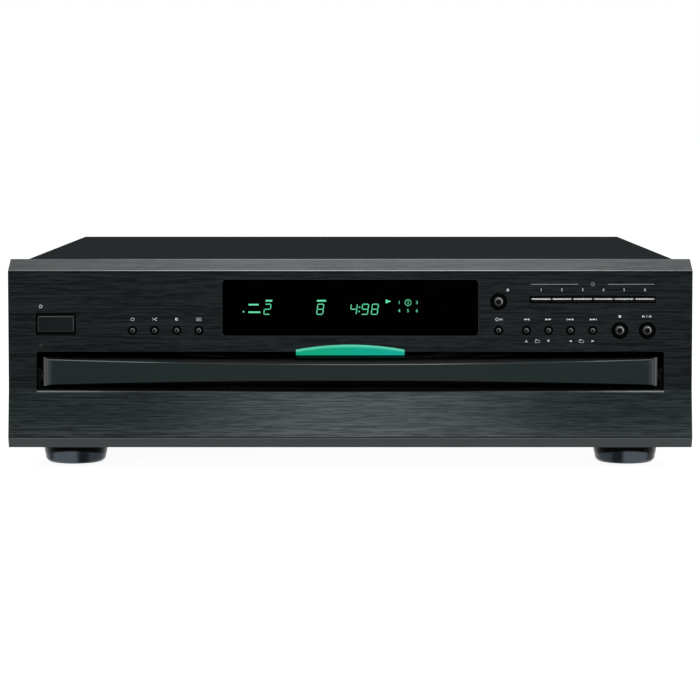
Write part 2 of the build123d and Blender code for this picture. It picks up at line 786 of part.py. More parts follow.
def main_board():
    """The decoder and output board with its larger components, on standoffs."""
    x0, x1 = optical_x() - 8, rail_x - 2
    y0, y1 = carousel_y + 75, jack_back
    z0, z1 = chassis_top + 6, board_top()
    body = block(x0, x1, y0, y1, z0, z1)
    for x in (x0 + 6, x1 - 14):
        for y in (y0 + 6, y1 - 30):
            body += post_z(x, y, chassis_top, z0, 3)
    for x, y, r, h in ((x1 - 20, y0 + 24, 6.5, 20), (x1 - 36, y0 + 24, 6.5, 20), (x1 - 28, y0 + 42, 5, 16)):
        body += post_z(x, y, z1, z1 + h, r)
    for x, y, w in ((x0 + 30, y0 + 60, 14), (x0 + 58, y0 + 78, 10)):
        body += block(x - w / 2, x + w / 2, y - w / 2, y + w / 2, z1, z1 + 1.6)
    sink_x, sink_y = x0 + 26, y0 + 30
    for fin in range(5):
        y = sink_y - 10 + fin * 5
        body += block(sink_x - 12, sink_x + 12, y, y + 1.6, z1, z1 + 18)
    body += block(sink_x - 12, sink_x + 12, sink_y - 10, sink_y + 11.6, z1, z1 + 3)
    return body


def transformer_x():
    return -carousel_r + 38


def transformer_y():
    return play_y + 44


def transformer():
    """The mains transformer: a laminated core, its bobbin and coil, and its mounting frame."""
    x, y = transformer_x(), transformer_y()
    w, d, h = TRANSFORMER_W / 2, TRANSFORMER_D / 2, TRANSFORMER_H
    z = chassis_top
    core = block(x - w, x + w, y - 12, y + 12, z + 1.2, z + h)
    core += block(x - w * 0.72, x + w * 0.72, y - d, y + d, z + 9, z + h - 8)
    frame = block(x - w - 1.2, x + w + 1.2, y - 11, y + 11, z, z + h + 1.2)
    frame -= block(x - w, x + w, y - 12, y + 12, z + 1.2, z + h)
    frame += block(x - w - 9, x + w + 9, y - 8, y + 8, z, z + 1.2)
    return core + frame


# Drawer, with the carousel and its drive

tray_front = face_y - DRAWER_FRONT_PROUD + DRAWER_FRONT_T
tray_rear = carousel_y + TRAY_REACH
arm_rear = play_y + ARM_REACH
well_front = play_y - WELL_REACH

idler_at = polar((0, carousel_y), ring_r + idler_pinion_r, IDLER_ANGLE)
carousel_motor_at = polar(idler_at, idler_r + motor_pinion_r, MOTOR_ANGLE)
idler_z0 = floor_top + 0.4
idler_wheel_top = ring_z - 0.8
idler_top = carousel_z - 0.4
carousel_motor_top = tray_z - SHEET

drive_at = (-RACK_X + rack_pinion_r, face_y + DRIVE_SETBACK)
pulley_at = (drive_at[0] + rack_wheel_r + pulley_pinion_r, drive_at[1])
drawer_motor_at = (pulley_at[0] + BELT_REACH, pulley_at[1])
deck_top = chassis_top + DECK_RISE
deck_z = deck_top - DECK_T
pulley_z = deck_top + GAP
pulley_top = pulley_z + 4.0
wheel_z = pulley_top + GAP
wheel_top = wheel_z + 3.4
drawer_motor_top = deck_z - SHEET


def pocket_centre(n):
    return polar((0, carousel_y), pocket_pitch_r, 90 + 360 * n / POCKETS)


def turntable_disc():
    """The turning disc: six disc pockets, each open to the rim for the pickup, and ribs below."""
    disc = post_z(0, carousel_y, carousel_z, carousel_top, carousel_r)
    web_r = pocket_pitch_r - POCKET_R - WEB_RIM
    under = post_z(0, carousel_y, carousel_z - 1, carousel_top - WEB_T, web_r)
    under -= post_z(0, carousel_y, carousel_z - 2, carousel_top, HUB_R)
    for n in range(POCKETS):
        rib = block(0, web_r + 1, -1, 1, carousel_z - 2, carousel_top)
        under -= Pos(0, carousel_y, 0) * Rot(0, 0, 60 + 360 * n / POCKETS) * rib
    disc -= under
    half = PICKUP_WAY / 2
    for n in range(POCKETS):
        x, y = pocket_centre(n)
        disc -= post_z(x, y, pocket_z, carousel_top + 1, POCKET_R)
        disc -= post_z(x, y, pocket_z - SMALL_POCKET_DEPTH, carousel_top + 1, SMALL_POCKET_R)
        way = post_z(0, 0, carousel_z - 1, carousel_top + 1, half)
        way += block(0, carousel_r, -half, half, carousel_z - 1, carousel_top + 1)
        disc -= Pos(x, y, 0) * Rot(0, 0, 90 + 360 * n / POCKETS) * way
    return disc - post_z(0, carousel_y, carousel_z - 1, carousel_top + 1, POST_R + RUN)


def over_floor(r):
    """All that stands over the pocket floor within r of the carousel's axis."""
    return post_z(0, carousel_y, pocket_z, carousel_top + 1, r)


def carousel():
    """The carousel's floor, with its hub and its gear ring.

    Its middle and its six sectors between the ways for the pickup are separate solids.
    """
    floor = turntable_disc() - over_floor(carousel_r + 1)
    ring = gear(RING_TEETH, RACK_MODULE, ring_z, carousel_z, IDLER_ANGLE)
    ring -= post_z(0, 0, ring_z - 1, carousel_z + 1, ring_r - RING_W)
    hub = post_z(0, carousel_y, floor_top + 3 + GAP, carousel_z, HUB_R)
    hub -= post_z(0, carousel_y, floor_top, carousel_z + 1, POST_R + RUN)
    floor += [Pos(0, carousel_y, 0) * ring, hub]
    middle = post_z(0, carousel_y, floor_top, pocket_z, pocket_pitch_r - PICKUP_WAY / 4)
    return [floor & middle, *(floor - middle).solids()]


def carousel_plate():
    """The raised plate on the carousel's floor: a domed middle and six lands between the pockets.

    The middle and the inner and outer halves of the lands are separate solids.
    """
    plate = turntable_disc() & over_floor(carousel_r + 1)
    hub = over_floor(pocket_pitch_r - POCKET_R + 0.5)
    inner = over_floor(pocket_pitch_r)
    lands = plate - hub
    z = carousel_top
    section = [(0, z), (CAP_R, z), (CAP_R, z + 0.8), (CAP_R - 3, z + CAP_H), (0, z + CAP_H)]
    middle = (plate & hub) + turned(section, 0, carousel_y)
    return [middle, *(lands & inner).solids(), *(lands - inner).solids()]


def rack_teeth():
    """The straight rack in the drawer floor: it shows its teeth to the drive pinion."""
    pitch = pi * RACK_MODULE
    count = int(DRAWER_TRAVEL / pitch) + 4
    line = rack_points(count, RACK_MODULE, drive_at[1] - pitch)
    back = -RACK_X - TOOTH_ROOT * RACK_MODULE - 4
    points = [(height - RACK_X, along) for along, height in line]
    points += [(back, points[-1][1]), (back, points[0][1])]
    return prism_z(points, tray_z, tray_z + RACK_H)


def disc_drawer():
    """The sliding drawer: floor, walls round the carousel, runners, rack and carousel post."""
    half, wall = tray_half, TRAY_WALL
    body = block(-half, half, tray_front, tray_rear, tray_z, tray_top)
    body -= post_z(0, carousel_y, floor_top, tray_top + 1, recess_r)
    y0, y1 = tray_front + wall, tray_rear - wall
    hollow = block(-half + wall, half - wall, y0, y1, tray_z - 1, tray_top - wall)
    hollow -= post_z(0, carousel_y, tray_z - 2, tray_top + 1, recess_r + wall)
    body -= hollow
    for side in (-1, 1):
        x0, x1 = sorted((side * half, side * (half - ARM_W)))
        body += block(x0, x1, tray_rear - 1, arm_rear, tray_z, tray_z + 8)
        x0, x1 = sorted((side * (half - 0.5), side * (half + RUNNER_OUT)))
        body += block(x0, x1, tray_front + 4, arm_rear, runner_z, runner_z + RUNNER_H)
    body -= block(-WELL_HALF, WELL_HALF, well_front, tray_rear + 1, tray_z - 1, tray_top + 1)
    pinion_tip = rack_pinion_r + TOOTH_TOP * RACK_MODULE + 1
    y0 = drive_at[1] - pinion_tip
    y1 = drive_at[1] + DRAWER_TRAVEL + pinion_tip
    x0 = -RACK_X - TOOTH_ROOT * RACK_MODULE - 1
    body -= block(x0, drive_at[0] + pinion_tip, y0, y1, tray_z - 1, floor_top + 1)
    body += rack_teeth()
    x, y = 0, carousel_y
    body += post_z(x, y, tray_z, floor_top + 3, HUB_R)
    body += post_z(x, y, tray_z, carousel_top - 1, POST_R)
    body += post_z(*idler_at, tray_z, idler_top - 0.3, IDLER_POST_R)
    body -= post_z(*carousel_motor_at, tray_z - 1, floor_top + 1, SHAFT_R + 1)
    for angle in (15, 165, 215, 325):
        body += post_z(*polar((0, carousel_y), carousel_r - 9, angle), tray_z, carousel_z - GAP, 3.5)
    return body


def drawer_front():
    """The bowed drawer front: a crowned bar with flat bevels along its top and bottom."""
    half = tray_half + 1
    y_mid = face_y - DRAWER_FRONT_PROUD
    y_end = y_mid + DRAWER_FRONT_CROWN
    y_back = tray_front
    low = tray_z - 0.4
    high = low + DRAWER_FRONT_H
    middle = (low + high) / 2
    bow = ThreePointArc((-half, y_end), (0, y_mid), (half, y_end))
    sides = Polyline((half, y_end), (half, y_back), (-half, y_back), (-half, y_end))
    bar = extrude(Plane.XY.offset(low) * make_face([bow, *sides.edges()]), DRAWER_FRONT_H)
    upright = bar.edges().filter_by(Axis.Z).group_by(Axis.Y)[0]
    bar = fillet(upright, DRAWER_FRONT_R)
    edge = DRAWER_FRONT_FACE_H / 2
    reach = DRAWER_FRONT_CROWN + 1
    side_shape = [
        (y_mid - 1, middle - edge + reach),
        (y_end + DRAWER_FRONT_H / 2 - edge, low),
        (y_back + 1, low),
        (y_back + 1, high),
        (y_end + DRAWER_FRONT_H / 2 - edge, high),
        (y_mid - 1, middle + edge - reach),
    ]
    bar = bar & prism_x(side_shape, -half - 1, half + 1)
    cell = (2 * half - 10) / 6
    for n in range(6):
        x0 = -half + 5 + n * cell
        bar -= block(x0 + 1, x0 + cell - 1, y_end + 3, y_back + 1, low + 2.2, high - 2.2)
    return bar


def carousel_motor():
    top = carousel_motor_top
    x, y = carousel_motor_at
    return dc_motor(top - MOTOR_L, top, x, y) - post_z(x, y, top - 5, top + 2, SHAFT_R + RUN)


def carousel_pinion():
    """The toothed wheel on the carousel motor's shaft."""
    wheel = gear(MOTOR_PINION_TEETH, FINE_MODULE, idler_z0, idler_wheel_top, MOTOR_ANGLE + 180)
    shaft = post_z(0, 0, carousel_motor_top - 4.5, idler_z0, SHAFT_R)
    return Pos(*carousel_motor_at, 0) * (wheel + shaft)


def carousel_idler():
    """The two-step wheel between the carousel motor and the gear ring."""
    wheel = gear(IDLER_TEETH, FINE_MODULE, idler_z0, idler_wheel_top, meshed_phase(IDLER_TEETH, MOTOR_ANGLE))
    phase = meshed_phase(IDLER_PINION_TEETH, IDLER_ANGLE + 180)
    pinion = gear(IDLER_PINION_TEETH, RACK_MODULE, idler_wheel_top, idler_top, phase)
    bore = post_z(0, 0, idler_z0 - 1, idler_top + 1, IDLER_POST_R + RUN)
    return Pos(*idler_at, 0) * (wheel + pinion - bore)


# Drawer drive on the front deck


def rack_gear():
    """The wheel that moves the drawer: its upper pinion reaches into the rack."""
    wheel = gear(RACK_WHEEL_TEETH, FINE_MODULE, wheel_z, wheel_top, meshed_phase(RACK_WHEEL_TEETH, 0))
    phase = meshed_phase(RACK_PINION_TEETH, 180)
    pinion = gear(RACK_PINION_TEETH, RACK_MODULE, wheel_top, tray_z + RACK_H - GAP, phase)
    sleeve = post_z(0, 0, deck_top + GAP, wheel_z, RACK_AXLE_R + 2)
    bore = post_z(0, 0, deck_top, tray_z + RACK_H + 1, RACK_AXLE_R + RUN)
    return Pos(*drive_at, 0) * (wheel + pinion + sleeve - bore)


def pulley(groove_r, z0):
    """A grooved pulley on the vertical axis."""
    rim = groove_r + 1.5
    points = [(0, z0), (rim, z0), (rim, z0 + 0.8), (groove_r, z0 + 1.2), (groove_r, z0 + 2.8)]
    points += [(rim, z0 + 3.2), (rim, z0 + 4.0), (0, z0 + 4.0)]
    return turned(points)


def belt_pulley():
    """The driven pulley with its pinion."""
    pinion = gear(PULLEY_PINION_TEETH, FINE_MODULE, pulley_top, wheel_top, 180)
    bore = post_z(0, 0, pulley_z - 1, wheel_top + 1, IDLER_POST_R + RUN)
    return Pos(*pulley_at, 0) * (pulley(PULLEY_R, pulley_z) + pinion - bore)


def motor_pulley():
    shaft = post_z(0, 0, drawer_motor_top - 4.5, pulley_z, SHAFT_R)
    return Pos(*drawer_motor_at, 0) * (pulley(MOTOR_PULLEY_R, pulley_z) + shaft)


def belt_loop(grow, z0, z1):
    """The solid within a belt line round the two pulleys."""
    big, small = PULLEY_R + grow, MOTOR_PULLEY_R + grow
    lean = degrees(acos((big - small) / BELT_REACH))
    corners = [
        polar(pulley_at, big, lean),
        polar(pulley_at, big, -lean),
        polar(drawer_motor_at, small, -lean),
        polar(drawer_motor_at, small, lean),
    ]
    ends = post_z(*pulley_at, z0, z1, big) + post_z(*drawer_motor_at, z0, z1, small)
    return prism_z(corners, z0, z1) + ends


def drive_belt():
    middle = pulley_z + 2
    z0, z1 = middle - BELT_T / 2, middle + BELT_T / 2
    return belt_loop(2 * RUN + BELT_T, z0, z1) - belt_loop(2 * RUN, z0 - 1, z1 + 1)


# Pickup unit, drawn raised and then let down about its pivot

pivot_y = play_y - LIFT_ARM
pivot_z = tray_z - PIVOT_DROP
lift_rear = play_y + LIFT_REACH
lift_top = tray_z - 0.8
plate_z = tray_z - 1.6
plate_top = plate_z + 2
plate_half = WELL_HALF - 4
plate_front = well_front + 4
plate_rear = lift_rear - 5.5
disc_z = pocket_z + DISC_LIFT
rod_z = plate_top + 4
screw_z = plate_z - SLED_MOTOR_R - 0.2
sled_y0 = play_y + SLED_INNER - 7.5
sled_y1 = sled_y0 + SLED_LEN
sled_way_front = play_y + TURNTABLE_R
sled_way_rear = sled_y1 + SLED_TRAVEL + 1
damper_rows = (plate_front + 8, plate_rear - 8)


def let_down(solid):
    """The solid turned about the lift's pivot from its raised place to its rest."""
    return Pos(0, pivot_y, pivot_z) * Rot(-LIFT_ANGLE, 0, 0) * Pos(0, -pivot_y, -pivot_z) * solid


def lift_frame():
    """The hinged frame that carries the pickup unit, with its pivot stubs and cam pins."""
    half, bar = LIFT_HALF, LIFT_BAR
    body = post_x(pivot_y, pivot_z, -half, half, 5)
    for side in (-1, 1):
        x0, x1 = sorted((side * half, side * (half - bar)))
        body += block(x0, x1, pivot_y, lift_rear, lift_top - 8, lift_top)
        for y in damper_rows:
            x0, x1 = sorted((side * (half - 1), side * (DAMPER_X - 5)))
            top = plate_z - DAMPER_H - 2 * SHEET
            body += block(x0, x1, y - 5, y + 5, top - 3, top)
        x0, x1 = sorted((side * half, side * (half + 6.5)))
        body += post_x(pivot_y, pivot_z, x0, x1, PIVOT_R)
        body += post_y(side * CAM_PIN_X, pivot_z + 2, lift_rear - 1, lift_rear + 6.3, CAM_PIN_R)
    body += block(-half, half, lift_rear - 4.7, lift_rear, lift_top - 10.8, lift_top)
    return let_down(body)


def pickup_chassis():
    """The metal plate of the pickup unit: spindle hole, sled window, rod and screw holders."""
    body = block(-plate_half, plate_half, plate_front, plate_rear, plate_z, plate_top)
    body -= post_z(0, play_y, plate_z - 1, plate_top + 1, 4)
    x0, x1 = -ROD_X - 5, SCREW_X + 7
    body -= block(x0, x1, sled_way_front, sled_way_rear, plate_z - 1, plate_top + 1)
    for side in (-1, 1):
        x0, x1 = sorted((side * plate_half, side * (plate_half - 1.5)))
        body += block(x0, x1, plate_front, plate_rear, plate_top - 0.5, plate_top + 2)
        x0, x1 = side * ROD_X - 3.5, side * ROD_X + 3.5
        body += block(x0, x1, sled_way_front - 3, sled_way_front, plate_top - 0.5, rod_z + 2.5)
        body += block(x0, x1, sled_way_rear, plate_rear, plate_top - 0.5, rod_z + 2.5)
        body -= post_y(side * ROD_X, rod_z, sled_way_front - 4, plate_rear + 1, ROD_R + RUN)
    body += block(SCREW_X - 3.5, SCREW_X + 3.5, sled_way_rear, plate_rear, screw_z - 4, plate_z + 0.5)
    body -= post_y(SCREW_X, screw_z, sled_way_rear - 1, plate_rear + 1, SCREW_R + RUN)
    return let_down(body)


def damper_bushes():
    """Four soft bushes between the pickup plate and the lift frame."""
    bottom = plate_z - DAMPER_H - SHEET
    top = plate_z - SHEET
    waist = (bottom + top) / 2
    r = DAMPER_R
    section = [(1.2, bottom), (r, bottom), (r, waist - 0.4), (r - 1, waist)]
    section += [(r, waist + 0.4), (r, top), (1.2, top)]
    places = [(side * DAMPER_X, y) for side in (-1, 1) for y in damper_rows]
    return [let_down(turned(section, x, y)) for x, y in places]


def spindle_motor():
    """The flat motor that spins the disc."""
    top = plate_z - SHEET
    body = post_z(0, play_y, top - 8, top, MOTOR_R) + post_z(0, play_y, top, plate_top + 0.5, 3.5)
    return let_down(body - post_z(0, play_y, top - 5, plate_top + 1, SHAFT_R + RUN))


def disc_turntable():
    """The spindle's disc support with its centring cone, on the motor's shaft."""
    z, r = disc_z, SPINDLE_R
    section = [(0, plate_z - 4.5), (SHAFT_R, plate_z - 4.5), (SHAFT_R, z - 7), (5, z - 7), (5, z - 3.6)]
    section += [(TURNTABLE_R, z - 2.6), (TURNTABLE_R, z), (r, z), (r, z + 1.4), (r - 2.4, z + 3), (0, z + 3)]
    return let_down(turned(section, 0, play_y))


def pickup_sled():
    """The laser sled: a body on the two rods, its raised lens block and its nut on the screw."""
    y0, y1 = sled_y0, sled_y1
    right = SCREW_X + 4.5
    low = plate_top + 0.8
    deck = rod_z + ROD_R + 1.3
    body = block(-ROD_X - 3.4, right, y0, y1, low, deck)
    body += block(-16, 16, y0, y1, deck, disc_z - 3)
    lens_y = play_y + SLED_INNER
    body += post_z(0, lens_y, disc_z - 3, disc_z - 2.2, 5.5)
    body += turned([(0, disc_z - 2.2), (3, disc_z - 2.2), (2.4, disc_z - 1.4), (0, disc_z - 1.2)], 0, lens_y)
    for side in (-1, 1):
        body -= post_y(side * ROD_X, rod_z, y0 - 1, y1 + 1, ROD_R + RUN)
    body += block(SCREW_X - 4.5, right, y0 + 2, y0 + 12, screw_z - 4, low)
    body -= post_y(SCREW_X, screw_z, y0, y1 + 1, SCREW_R + RUN)
    return let_down(body)


def guide_rods():
    y0, y1 = sled_way_front - 2.8, plate_rear - 0.2
    return [let_down(post_y(side * ROD_X, rod_z, y0, y1, ROD_R)) for side in (-1, 1)]


def sled_motor():
    """The small motor that turns the sled's screw, under the pickup plate."""
    y1 = sled_way_front - 1.5
    body = post_y(SCREW_X, screw_z, y1 - 24, y1, SLED_MOTOR_R)
    return let_down(body - post_y(SCREW_X, screw_z, y1 - 5, y1 + 1, SHAFT_R + RUN))


def sled_screw():
    y1 = sled_way_front - 1.5
    body = post_y(SCREW_X, screw_z, y1 - 4.5, y1 + 0.5, SHAFT_R)
    return let_down(body + post_y(SCREW_X, screw_z, y1 + 0.5, plate_rear - 0.5, SCREW_R))


# Cam slide and its drive, behind the pickup unit

cam_y0 = lift_rear + 1.2
cam_y1 = cam_y0 + CAM_T
cam_mid = (cam_y0 + cam_y1) / 2
cam_high = pivot_z + 2
cam_low = pivot_z - (cam_mid - pivot_y) * tan(radians(LIFT_ANGLE)) + 2 / cos(radians(LIFT_ANGLE))
cam_bottom = cam_low - 6
cam_top = cam_high + 6
cam_left = -CAM_PIN_X - CAM_TRAVEL - 7
cam_right = CAM_PIN_X + 9
lift_gear_x = cam_left - lift_pinion_r - 3
lift_gear_z = cam_rack_z + lift_pinion_r
lift_motor_z = lift_gear_z + lift_wheel_r + lift_motor_r
bracket_y1 = cam_y0 - 6.2
bracket_y0 = bracket_y1 - 2
lift_wheel_y0 = bracket_y1 + 0.4
lift_wheel_y1 = lift_wheel_y0 + 3.4
guide_wall_y0 = cam_y1 + 2.4
guide_wall_y1 = guide_wall_y0 + 2


def upright_gear(teeth, module, y0, y1, phase):
    """A toothed wheel whose axis lies along Y, with one tooth at the angle phase in X and Z."""
    return Rot(90, 0, 0) * gear(teeth, module, -y1, -y0, phase)


def cam_slide():
    """The sliding cam plate: two slanted slots that lift the frame's pins, and its rack."""
    plate = block(cam_left, cam_right, cam_y0, cam_y1, cam_bottom, cam_top)
    half = CAM_PIN_R + 0.5
    slope = heading((-CAM_TRAVEL, cam_high), (0, cam_low))
    length = sqrt(CAM_TRAVEL**2 + (cam_high - cam_low) ** 2)
    for side in (-1, 1):
        x = side * CAM_PIN_X - CAM_TRAVEL / 2
        z = (cam_low + cam_high) / 2
        slot = extrude(SlotCenterToCenter(length, 2 * half), CAM_T + 2)
        plate -= Pos(x, cam_y1 + 1, z) * Rot(90, 0, 0) * Rot(0, 0, slope) * slot
    pitch = pi * FINE_MODULE
    count = int(CAM_TRAVEL / pitch) + 5
    first = lift_gear_x - (count - 3) * pitch
    line = rack_points(count, FINE_MODULE, first)
    floor = cam_rack_z - 5
    points = [(along, cam_rack_z + height) for along, height in line]
    points += [(cam_left + 1, cam_rack_z - TOOTH_ROOT), (cam_left + 1, floor), (points[0][0], floor)]
    return plate + prism_y(points, cam_y0, cam_y1)


def lift_gear():
    """The two-step wheel that drives the cam slide."""
    wheel_phase = meshed_phase(LIFT_WHEEL_TEETH, 90)
    pinion_phase = meshed_phase(LIFT_PINION_TEETH, -90)
    wheel = upright_gear(LIFT_WHEEL_TEETH, FINE_MODULE, lift_wheel_y0, lift_wheel_y1, wheel_phase)
    pinion = upright_gear(LIFT_PINION_TEETH, FINE_MODULE, lift_wheel_y1, cam_y1, pinion_phase)
    bore = post_y(0, 0, lift_wheel_y0 - 1, cam_y1 + 1, IDLER_POST_R + RUN)
    return Pos(lift_gear_x, 0, lift_gear_z) * (wheel + pinion - bore)


def lift_pinion():
    """The toothed wheel on the lift motor's shaft."""
    wheel = upright_gear(LIFT_MOTOR_TEETH, FINE_MODULE, lift_wheel_y0, lift_wheel_y1, -90)
    shaft = post_y(0, 0, bracket_y0 - 4.5, lift_wheel_y0, SHAFT_R)
    return Pos(lift_gear_x, 0, lift_motor_z) * (wheel + shaft)


def loading_motors():
    """The drawer motor under the deck and the lift motor on its bracket."""
    x, y = drawer_motor_at
    top = drawer_motor_top
    drawer_motor = dc_motor(top - MOTOR_L, top, x, y) - post_z(x, y, top - 5, top + 1, SHAFT_R + RUN)
    y1 = bracket_y0 - SHEET
    lift_motor = Rot(-90, 0, 0) * dc_motor(-MOTOR_L, 0, 0, 0)
    lift_motor = Pos(lift_gear_x, y1, lift_motor_z) * lift_motor
    lift_motor -= post_y(lift_gear_x, lift_motor_z, y1 - 5, y1 + 1, SHAFT_R + RUN)
    return [drawer_motor, lift_motor]


# Frame, bridge and clamper

rail_x = slot_half - 0.4
rail_y0 = rim_y + 3.5
rail_y1 = play_y + 73
rail_top = chassis_top + RAIL_H
deck_rear = carousel_y - DECK_REACH
longeron_x0 = LIFT_HALF + 3.5
longeron_x1 = longeron_x0 + 3.5
bridge_z = carousel_top + 7.5


def loader_frame():
    """The moulded frame: drawer rails, front deck, pivot walls, cam guide and lift bracket."""
    low = chassis_top
    body = block(-rail_x - RAIL_T, rail_x + RAIL_T, rail_y0, deck_rear, deck_z, deck_top)
    corridor_x = carousel_motor_at[0]
    body -= block(corridor_x - 16, corridor_x + 16, rail_y0 + 4, deck_rear + 1, deck_z - 1, deck_top + 1)
    for side in (-1, 1):
        x0, x1 = sorted((side * rail_x, side * (rail_x + RAIL_T)))
        body += block(x0, x1, rail_y0, rail_y1, low, rail_top)
        x0, x1 = sorted((side * (rail_x - 10), side * (rail_x + RAIL_T)))
        body += block(x0, x1, rail_y0, rail_y1, low, low + 2)
        x0, x1 = sorted((side * (tray_half + 0.6), side * rail_x))
        z = runner_z - GAP
        body += block(x0, x1, rail_y0, rail_y1, z - 2, z)
        z = runner_z + RUNNER_H + GAP
        body += block(x0, x1, rail_y0, rail_y1, z, z + 2)
        x0, x1 = sorted((side * longeron_x0, side * longeron_x1))
        body += block(x0, x1, deck_rear - 6, lift_rear - 11, low + 2, pivot_z - 2)
        body += block(x0, x1, pivot_y - 6, pivot_y + 6, pivot_z - 3, pivot_z + 5.5)
        body -= post_x(pivot_y, pivot_z, x0 - 1, x1 + 1, PIVOT_R + RUN)
        for y in (deck_rear - 6, lift_rear - 25):
            body += block(x0, x1, y, y + 14, low, low + 3)
    wall_x0, wall_x1 = lift_gear_x - 19, cam_right + CAM_TRAVEL + 1
    body += block(wall_x0, wall_x1, lift_rear - 12, guide_wall_y1, low, low + 2)
    body += block(wall_x0, wall_x1, guide_wall_y0, guide_wall_y1, low, cam_top + 3)
    body += block(cam_left, wall_x1, cam_y0 - GAP - 1.2, cam_y0 - GAP, low, cam_bottom + 1.2)
    body += block(cam_left, wall_x1, cam_y0 - GAP, guide_wall_y0, low, cam_bottom - GAP)
    body += block(cam_left, wall_x1, cam_y1 + GAP, guide_wall_y0, low, cam_bottom + 3)
    for x in (-30, 30):
        body += block(x - 8, x + 8, cam_y1 + GAP, guide_wall_y0, cam_top - 6, cam_top + 3)
        body += block(x - 8, x + 8, cam_y0 - GAP - 1.2, guide_wall_y0, cam_top + GAP, cam_top + 3)
        body += block(x - 8, x + 8, cam_y0 - GAP - 1.2, cam_y0 - GAP, cam_top - 1.2, cam_top + 3)
    x0, x1 = lift_gear_x - 19, lift_gear_x + 13
    body += block(x0, x1, bracket_y0, bracket_y1, low, lift_motor_z + 13)
    body += block(x0, x0 + 2, bracket_y0, guide_wall_y1, low, cam_rack_z - 6)
    body -= post_y(lift_gear_x, lift_motor_z, bracket_y0 - 1, bracket_y1 + 1, SHAFT_R + 1)
    body += post_y(lift_gear_x, lift_gear_z, bracket_y0, cam_y1 - 0.5, IDLER_POST_R)
    body += post_z(*drive_at, deck_z, tray_z + RACK_H - 1, RACK_AXLE_R)
    body += post_z(*pulley_at, deck_z, wheel_top - 0.4, IDLER_POST_R)
    body -= post_z(*drawer_motor_at, deck_z - 1, deck_top + 1, SHAFT_R + 1)
    return body


def clamp_bridge():
    """The bridge over the rear disc, standing on the two rails and holding the clamper."""
    half = rail_x + RAIL_T
    y0, y1 = play_y - BRIDGE_HALF, play_y + BRIDGE_HALF
    z = bridge_z
    body = block(-half, half, y0, y1, z, z + BRIDGE_T)
    for y in (y0, y1 - 1.5):
        body += block(-half, half, y, y + 1.5, z, z + 7)
    for side in (-1, 1):
        x0, x1 = sorted((side * half, side * (half - 2.5)))
        body += block(x0, x1, y0, y1, rail_top, z + 1)
    body += post_z(0, play_y, z, z + BRIDGE_T + 1.5, CLAMP_R + 8)
    for share in (-0.78, -0.55, -0.3, 0.3, 0.55, 0.78):
        body -= slot_hole(share * rail_x, play_y, z)
    return body - post_z(0, play_y, z - 1, z + 9, CLAMP_R + 0.7)


def slot_hole(x, y, z):
    return Pos(x, y, z - 1) * extrude(SlotOverall(30, 12, rotation=90), BRIDGE_T + 2)


def disc_clamper():
    """The magnetic clamper, hanging by its flange in the bridge."""
    seat = bridge_z + BRIDGE_T + 1.5 + 0.2
    low = carousel_top + 2.9
    flange = CLAMP_R + 5
    section = [(0, low + 1.6), (SPINDLE_R + 0.6, low + 1.6), (SPINDLE_R + 0.6, low), (CLAMP_R - 1, low)]
    section += [(CLAMP_R, low + 1), (CLAMP_R, seat), (flange, seat), (flange, seat + 1.6)]
    section += [(CLAMP_R - 2, seat + 2.6), (0, seat + 2.6)]
    return turned(section, 0, play_y)


# Write every piece

PIECES = {
    "front_fascia": front_fascia,
    "front_base": front_base,
    "display_window": display_window,
    "slot_lens": slot_lens,
    "control_board": control_board,
    "top_cover": top_cover,
    "bottom_chassis": bottom_chassis,
    "rear_panel": rear_panel,
    "feet": feet,
    "case_screws": case_screws,
    "rear_jacks": rear_jacks,
    "ac_inlet": ac_inlet,
    "main_board": main_board,
    "transformer": transformer,
    "disc_drawer": disc_drawer,
    "drawer_front": drawer_front,
    "carousel": carousel,
    "carousel_plate": carousel_plate,
    "carousel_motor": carousel_motor,
    "carousel_pinion": carousel_pinion,
    "carousel_idler": carousel_idler,
    "rack_gear": rack_gear,
    "belt_pulley": belt_pulley,
    "motor_pulley": motor_pulley,
    "drive_belt": drive_belt,
    "lift_frame": lift_frame,
    "pickup_chassis": pickup_chassis,
    "damper_bushes": damper_bushes,
    "spindle_motor": spindle_motor,
    "disc_turntable": disc_turntable,
    "pickup_sled": pickup_sled,
    "guide_rods": guide_rods,
    "sled_motor": sled_motor,
    "sled_screw": sled_screw,
    "cam_slide": cam_slide,
    "lift_gear": lift_gear,
    "lift_pinion": lift_pinion,
    "loading_motors": loading_motors,
    "loader_frame": loader_frame,
    "clamp_bridge": clamp_bridge,
    "disc_clamper": disc_clamper,
}


def standby_button():
    return bar_button(standby_x, standby_z, STANDBY_W, STANDBY_H, 0.9, 0.8)


def write(name, made):
    shape = Compound(children=list(made)) if isinstance(made, list) else made
    export_step(shape, f"parts/{name}.step")


os.makedirs("parts", exist_ok=True)
for name, piece in PIECES.items():
    write(name, piece())
for name, place in ROUND_BUTTONS.items():
    write(name, round_button(*place))
for name, x in SELECT_BUTTONS.items():
    write(name, bar_button(x, select_z, SELECT_W, SELECT_H, 1.0, 0.5))
write("standby_button", standby_button())
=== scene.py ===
from math import cos, radians, sin, tau

